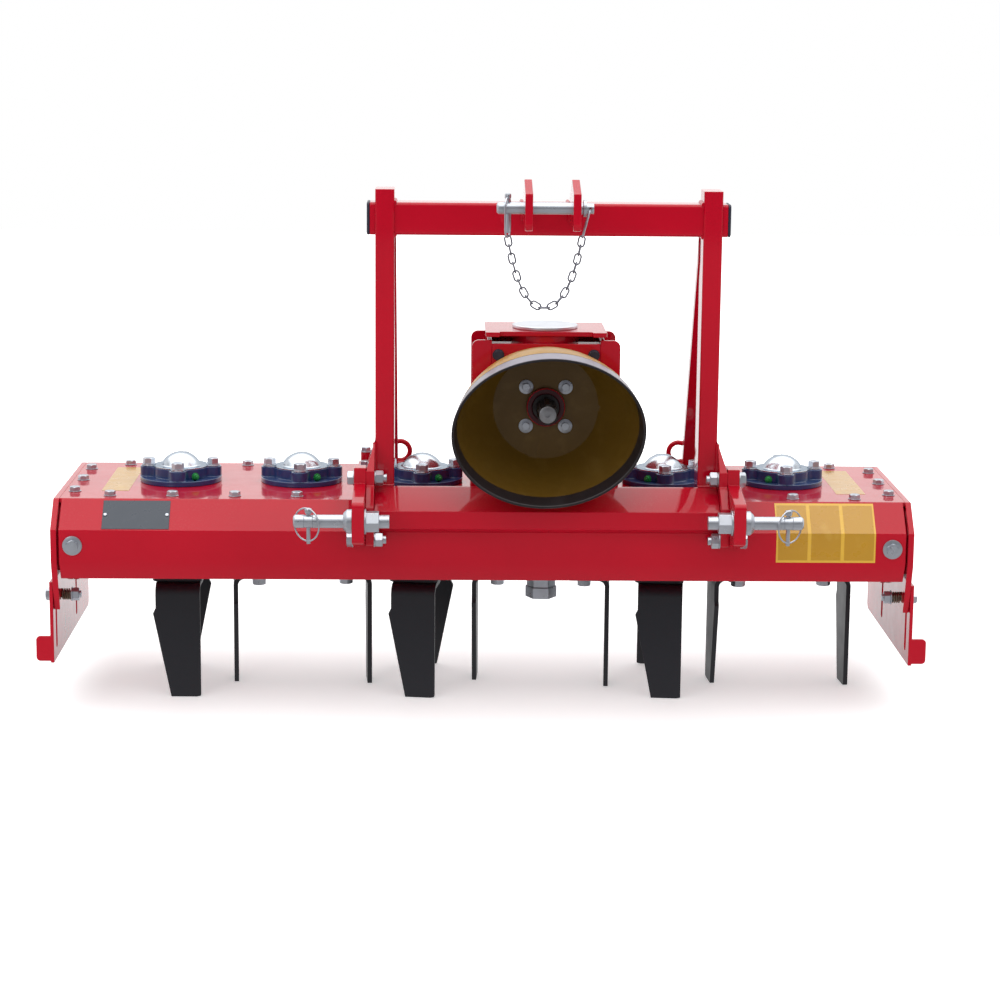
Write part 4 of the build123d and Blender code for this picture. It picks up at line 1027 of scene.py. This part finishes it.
class HARROW_OT_chain(bpy.types.Operator):
    """Hang the safety chain between the top linch pin and the stub of the top pin"""
    bl_idname = "harrow.chain"
    bl_label = "Safety chain"

    def execute(self, context):
        hardware = context.scene.harrow_hardware
        wire = hardware.chain_wire
        count = hardware.chain_links
        pitch = 0.0145
        lap = 0.00155
        slope_step = 0.58
        pin_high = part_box("top_link_pin")[1]
        pin = node_middle("top_link_pin")
        linch_x = node_middle("top_linch").x
        ring_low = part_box("top_linch")[0].z + wire / 2
        aims = [Vector((1, 0, slope_step * (number - (count - 1) / 2))).normalized() for number in range(count)]
        joint = Vector((linch_x, pin.y, ring_low)) - aims[0] * lap
        side_on = Vector((0, 1, 0))
        places = []
        for number, aim in enumerate(aims):
            flat = side_on if number % 2 == 0 else side_on.cross(aim)
            middle = joint + aim * (pitch / 2)
            places.append(Matrix.Translation(middle) @ turn_to(aim, flat.cross(aim), flat))
            joint = joint + aim * pitch
        link = wire_loop("chain_link", length=pitch + 2 * lap + wire, width=0.0132, wire=wire, steps=18)
        paint_with(link, "chain_zinc")
        chain = spread(link, places, "pin_chain_links")

        low = joint - aims[-1] * lap
        high = Vector((pin_high.x - 0.006, pin.y, pin.z))
        aim = (high - low).normalized()
        loop = wire_loop("stub_loop", length=(high - low).length + wire, width=0.0248, wire=wire, steps=28)
        loop.data.transform(Matrix.Translation((high + low) / 2) @ turn_to(aim, side_on, aim.cross(side_on)))
        chain = join([chain, loop], "pin_chain_finish")
        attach(chain, "frame")
        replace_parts(chain, "pin_chain")

        ring_length = 0.0675
        shaft = round_block("top_linch_shaft", radius=0.00325, height=0.055, base=-0.040, edge=0.0008, sides=24)
        head = round_block("top_linch_head", radius=0.0052, height=0.0090, base=0.0145, edge=0.0025, sides=24)
        ring = wire_loop("top_linch_ring", length=ring_length, width=0.0364, wire=wire, sides=10, steps=32)
        drop = ring_low - wire / 2 + ring_length / 2 - pin.z
        swing = Matrix.Rotation(math.radians(74), 4, "Z")
        ring.data.transform(Matrix.Translation((0, 0, drop)) @ swing @ RING_UPRIGHT)
        linch_pin("top_linch", [shaft, head], ring, (linch_x, pin.y, pin.z))
        return {"FINISHED"}


class HARROW_OT_gearbox(bpy.types.Operator):
    """Dress the gearbox, its bent supports and the plates on it"""
    bl_idname = "harrow.gearbox"
    bl_label = "Gearbox"

    def execute(self, context):
        hardware = context.scene.harrow_hardware
        housing = dressed("gearbox_housing", "red_paint", hardware.casting_edge, segments=3)
        # Housing faces round the input shaft in front take a dark maroon: painted shade deep in the guard.
        housing.data.materials.append(finish_named("shaft_seal"))
        snout_shade_radius = 0.031
        shaft = node_middle("input_shaft")
        for face in housing.data.polygons:
            aside = Vector((face.center.x - shaft.x, 0, face.center.z - shaft.z))
            if face.center.y < ROW_Y - 0.100 and aside.length < snout_shade_radius:
                face.material_index = 1
        for node in ("gearbox_support_left", "gearbox_support_right", "gearbox_front_plate", "gearbox_top_plate"):
            dressed(node, "red_paint", hardware.edge)
        dressed("gearbox_cap", "cap_plate", 0.0015, segments=3)
        bolt = bolt_pattern("plate_bolt", 0.016, head=0.0075, washer=0.020, washer_thick=0.0015, finish="black_plastic")
        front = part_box("gearbox_front_plate")[0].y
        places = [facing(Vector((HITCH_X + x, front, DECK_Z + z)), (0, -1, 0), x * 9)
                  for x in (-0.081, 0.081) for z in (0.237, 0.062)]
        spread(bolt, places, "front_plate_bolts")
        neck_circle = 0.0815
        places = []
        for number in range(6):
            turn = math.radians(30 + 60 * number)
            spot = on_lid(HITCH_X + neck_circle * math.cos(turn), neck_circle * math.sin(turn), 0.014)
            places.append(facing(spot, UP, number))
        spread(lid_bolt_pattern("neck_bolt", hardware, 0.020), places, "neck_bolts")
        return {"FINISHED"}


class HARROW_OT_guard(bpy.types.Operator):
    """Dress the guard bell, its rubber lip, its bolts and the splined shaft"""
    bl_idname = "harrow.guard"
    bl_label = "Guard"

    def execute(self, context):
        hardware = context.scene.harrow_hardware
        bell = dressed("guard_bell", "yellow_plastic", 0.0, smooth_angle=30)
        # The lip's outer finish has a painted lighter top.
        lip = dressed("guard_lip", "rubber_lit_top", 0.0016, segments=3, smooth_angle=40)
        # Inward and front-facing faces take a second finish: on the bell a darker yellow as painted shade inside it, on
        # the lip plain black rubber.
        for piece, inside in ((bell, "guard_inside"), (lip, "black_rubber")):
            piece.data.materials.append(finish_named(inside))
            centre = node_middle(piece.name.replace("_finish", ""))
            for face in piece.data.polygons:
                outward = Vector((face.center.x - centre.x, 0, face.center.z - centre.z))
                if face.normal.dot(outward) < 0 or face.normal.y < -0.8:
                    face.material_index = 1
        dressed("input_shaft", "oiled_steel", 0.0005, body="input_shaft")
        shaft = node_middle("input_shaft")
        nose = round_block("shaft_nose", radius=0.0146, height=0.0060, base=-0.0040, edge=0.0016, sides=40)
        pick_faces(nose, lambda centre, normal: normal.z > 0.99 and centre.z > 0)
        bpy.ops.mesh.inset(thickness=0.0088)
        bpy.ops.mesh.extrude_region_move(TRANSFORM_OT_translate={"value": (0, 0, -0.0045)})
        close_mesh()
        coat(nose, 40, "bare_steel")
        tip = Vector((shaft.x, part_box("input_shaft")[0].y, shaft.z))
        nose.data.transform(facing(tip, (0, -1, 0)))
        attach(nose, "input_shaft")
        bolt = bolt_pattern("guard_bolt", hardware.guard_bolt, head=0.0070, washer=0.0245, washer_thick=0.0022)
        front = ROW_Y - 0.104
        half_pitch = 0.0335
        places = [facing(Vector((shaft.x + x, front, shaft.z + z)), (0, -1, 0), x * 20 + z * 9)
                  for x in (-half_pitch, half_pitch) for z in (-half_pitch, half_pitch)]
        spread(bolt, places, "guard_bolts")
        return {"FINISHED"}


class HARROW_OT_rotors(bpy.types.Operator):
    """Dress the rotors and their tines, and bolt the tine feet"""
    bl_idname = "harrow.rotors"
    bl_label = "Rotors"

    def execute(self, context):
        hardware = context.scene.harrow_hardware
        bolt = bolt_pattern("tine_bolt", hardware.tine_bolt, head=0.0100, washer=hardware.tine_bolt * 1.2,
                            washer_thick=0.0025)
        phases = {1: 90.0, 2: 4.5, 3: 81.6, 4: -3.5, 5: 84.2, 6: 4.0}
        tine_thick = 0.008
        foot_reach = 0.076
        for number, phase in phases.items():
            body = "rotor_%d" % number
            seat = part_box("tines_%d" % number)[1].z - tine_thick
            hub = dressed(body, "black_steel", hardware.edge, body=body)
            if number == 4:
                hub.data.materials.append(finish_named("zinc"))
                for face in hub.data.polygons:
                    if face.center.z < seat:
                        face.material_index = 1
            dressed("tines_%d" % number, "black_steel", 0.0009, body=body)
            middle = Vector((rotor_x(number), ROW_Y, seat))
            turn = math.radians(phase)
            reach = Vector((math.cos(turn), math.sin(turn), 0)) * foot_reach
            across = Vector((-math.sin(turn), math.cos(turn), 0))
            places = [facing(middle + reach * half + across * side, (0, 0, -1), number * 0.7 + side * 30)
                      for half in (-1, 1) for side in (-0.018, 0.018)]
            stamp(bolt, places, "tine_bolts_%d" % number, body)
        discard(bolt)
        return {"FINISHED"}


class HARROW_OT_side_plates(bpy.types.Operator):
    """Dress the side plates and their spring-loaded bolts"""
    bl_idname = "harrow.side_plates"
    bl_label = "Side plates"

    def execute(self, context):
        hardware = context.scene.harrow_hardware
        head = bolt_pattern("side_head", 0.019, head=0.0076, washer=0.026, washer_thick=0.0025)
        nut = nut_pattern("side_nut", 0.019, height=0.0110, thread=0.0118, reach=0.0090,
                          washer=0.024, washer_thick=0.0020)
        settle()
        bpy.ops.mesh.primitive_circle_add(vertices=10, radius=0.0014, fill_type="NGON",
                                          location=(0.0085, 0, 0), rotation=(math.pi / 2, 0, 0))
        spring = context.object
        fix_place(spring)
        press(spring, "SCREW", screw_offset=0.0038, angle=2 * math.pi, iterations=4, steps=20, render_steps=20,
              axis="Z", use_merge_vertices=True)
        turn_out(spring)
        sleeve = round_block("side_sleeve", radius=0.0060, height=0.018, edge=0.0004)
        spring = coat(join([spring, sleeve], "side_spring"), 50, "spring_steel")
        head_seat = 0.0101
        nut_seat = 0.0165
        bolt_from_end = 0.015
        for side, label in SIDES:
            dressed("side_plate_" + label, "red_paint", hardware.edge, body="side_plate_" + label)
            low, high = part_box("side_plate_bolts_" + label)
            middle_z = (low.z + high.z) / 2
            outer = (high.x if side > 0 else low.x) - side * head_seat
            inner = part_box("end_plate_" + label)[0 if side > 0 else 1].x
            rows = (
                (head, "side_heads_", outer, side, 7),
                (nut, "side_nuts_", inner - side * nut_seat, -side, 9),
                (spring, "side_springs_", inner, -side, 5),
            )
            for pattern, name, x, aim, turns in rows:
                places = [facing(Vector((x, y, middle_z)), (aim, 0, 0), y * turns)
                          for y in (low.y + bolt_from_end, high.y - bolt_from_end)]
                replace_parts(stamp(pattern, places, name + label), "side_plate_bolts_" + label)
        for pattern in (head, nut, spring):
            discard(pattern)
        return {"FINISHED"}


class HARROW_OT_signs(bpy.types.Operator):
    """Fix the blank data plate and the blank stickers"""
    bl_idname = "harrow.signs"
    bl_label = "Blank signs"

    def execute(self, context):
        sheet("data_plate", corners_on(on_slope, -0.637, -0.525, 0.96, 0.07), 0.0008, "data_plate")
        rivet = coat(round_block("rivet", radius=0.0032, height=0.0016, edge=0.0011, sides=20), 50, "zinc")
        places = [facing(on_slope(x, 0.52, 0.0008), SLOPE_OUT) for x in (-0.6325, -0.5295)]
        spread(rivet, places, "plate_rivets")

        left, right = 0.490, 0.657
        low = 0.095
        film = 0.0003
        margin = 0.003
        sheet("sign_back_slope", corners_on(on_slope, left, right, 1.0, 0.05), film, "sticker_border")
        sheet("sign_back_wall", corners_on(on_wall, left, right, low, SHOULDER_DROP), film, "sticker_border")
        wide = (right - left) / 3
        for number in range(3):
            start = left + wide * number + margin
            end = left + wide * (number + 1) - margin
            sheet("sign_slope_%d" % number, corners_on(on_slope, start, end, 1.0, 0.12, film), film, "sticker")
            sheet("sign_wall_%d" % number, corners_on(on_wall, start, end, low - 0.004, SHOULDER_DROP, film), film,
                  "sticker")
        for name, start, end in (("lid_sign_left", -0.650, -0.604), ("lid_sign_right", 0.606, 0.656)):
            sheet(name, corners_on(on_lid, start, end, -0.102, 0.120), film, "sticker")
        return {"FINISHED"}


class HARROW_PT_panel(bpy.types.Panel):
    """The harrow's pieces in the order they are made"""
    bl_idname = "HARROW_PT_panel"
    bl_label = "Power harrow"
    bl_space_type = "VIEW_3D"
    bl_region_type = "UI"
    bl_category = "Harrow"

    def draw(self, context):
        layout = self.layout
        for group in (context.scene.harrow_paint, context.scene.harrow_hardware, context.scene.harrow_stage):
            box = layout.box()
            for name in group.__annotations__:
                box.prop(group, name)
        for operator in OPERATORS:
            layout.operator(operator.bl_idname)


OPERATORS = (
    HARROW_OT_stage,
    HARROW_OT_finishes,
    HARROW_OT_trough,
    HARROW_OT_lid_bolts,
    HARROW_OT_bearings,
    HARROW_OT_hitch_frame,
    HARROW_OT_hitch_bolts,
    HARROW_OT_link_pins,
    HARROW_OT_chain,
    HARROW_OT_gearbox,
    HARROW_OT_guard,
    HARROW_OT_rotors,
    HARROW_OT_side_plates,
    HARROW_OT_signs,
)
GROUPS = (HarrowPaint, HarrowHardware, HarrowStage)


def register():
    for group in GROUPS:
        bpy.utils.register_class(group)
    for operator in OPERATORS:
        bpy.utils.register_class(operator)
    bpy.utils.register_class(HARROW_PT_panel)
    bpy.types.Scene.harrow_paint = PointerProperty(type=HarrowPaint)
    bpy.types.Scene.harrow_hardware = PointerProperty(type=HarrowHardware)
    bpy.types.Scene.harrow_stage = PointerProperty(type=HarrowStage)


def unregister():
    del bpy.types.Scene.harrow_stage
    del bpy.types.Scene.harrow_hardware
    del bpy.types.Scene.harrow_paint
    bpy.utils.unregister_class(HARROW_PT_panel)
    for operator in reversed(OPERATORS):
        bpy.utils.unregister_class(operator)
    for group in reversed(GROUPS):
        bpy.utils.unregister_class(group)


def main():
    register()
    for operator in OPERATORS:
        family, name = operator.bl_idname.split(".")
        getattr(getattr(bpy.ops, family), name)()


if __name__ == "__main__":
    main()
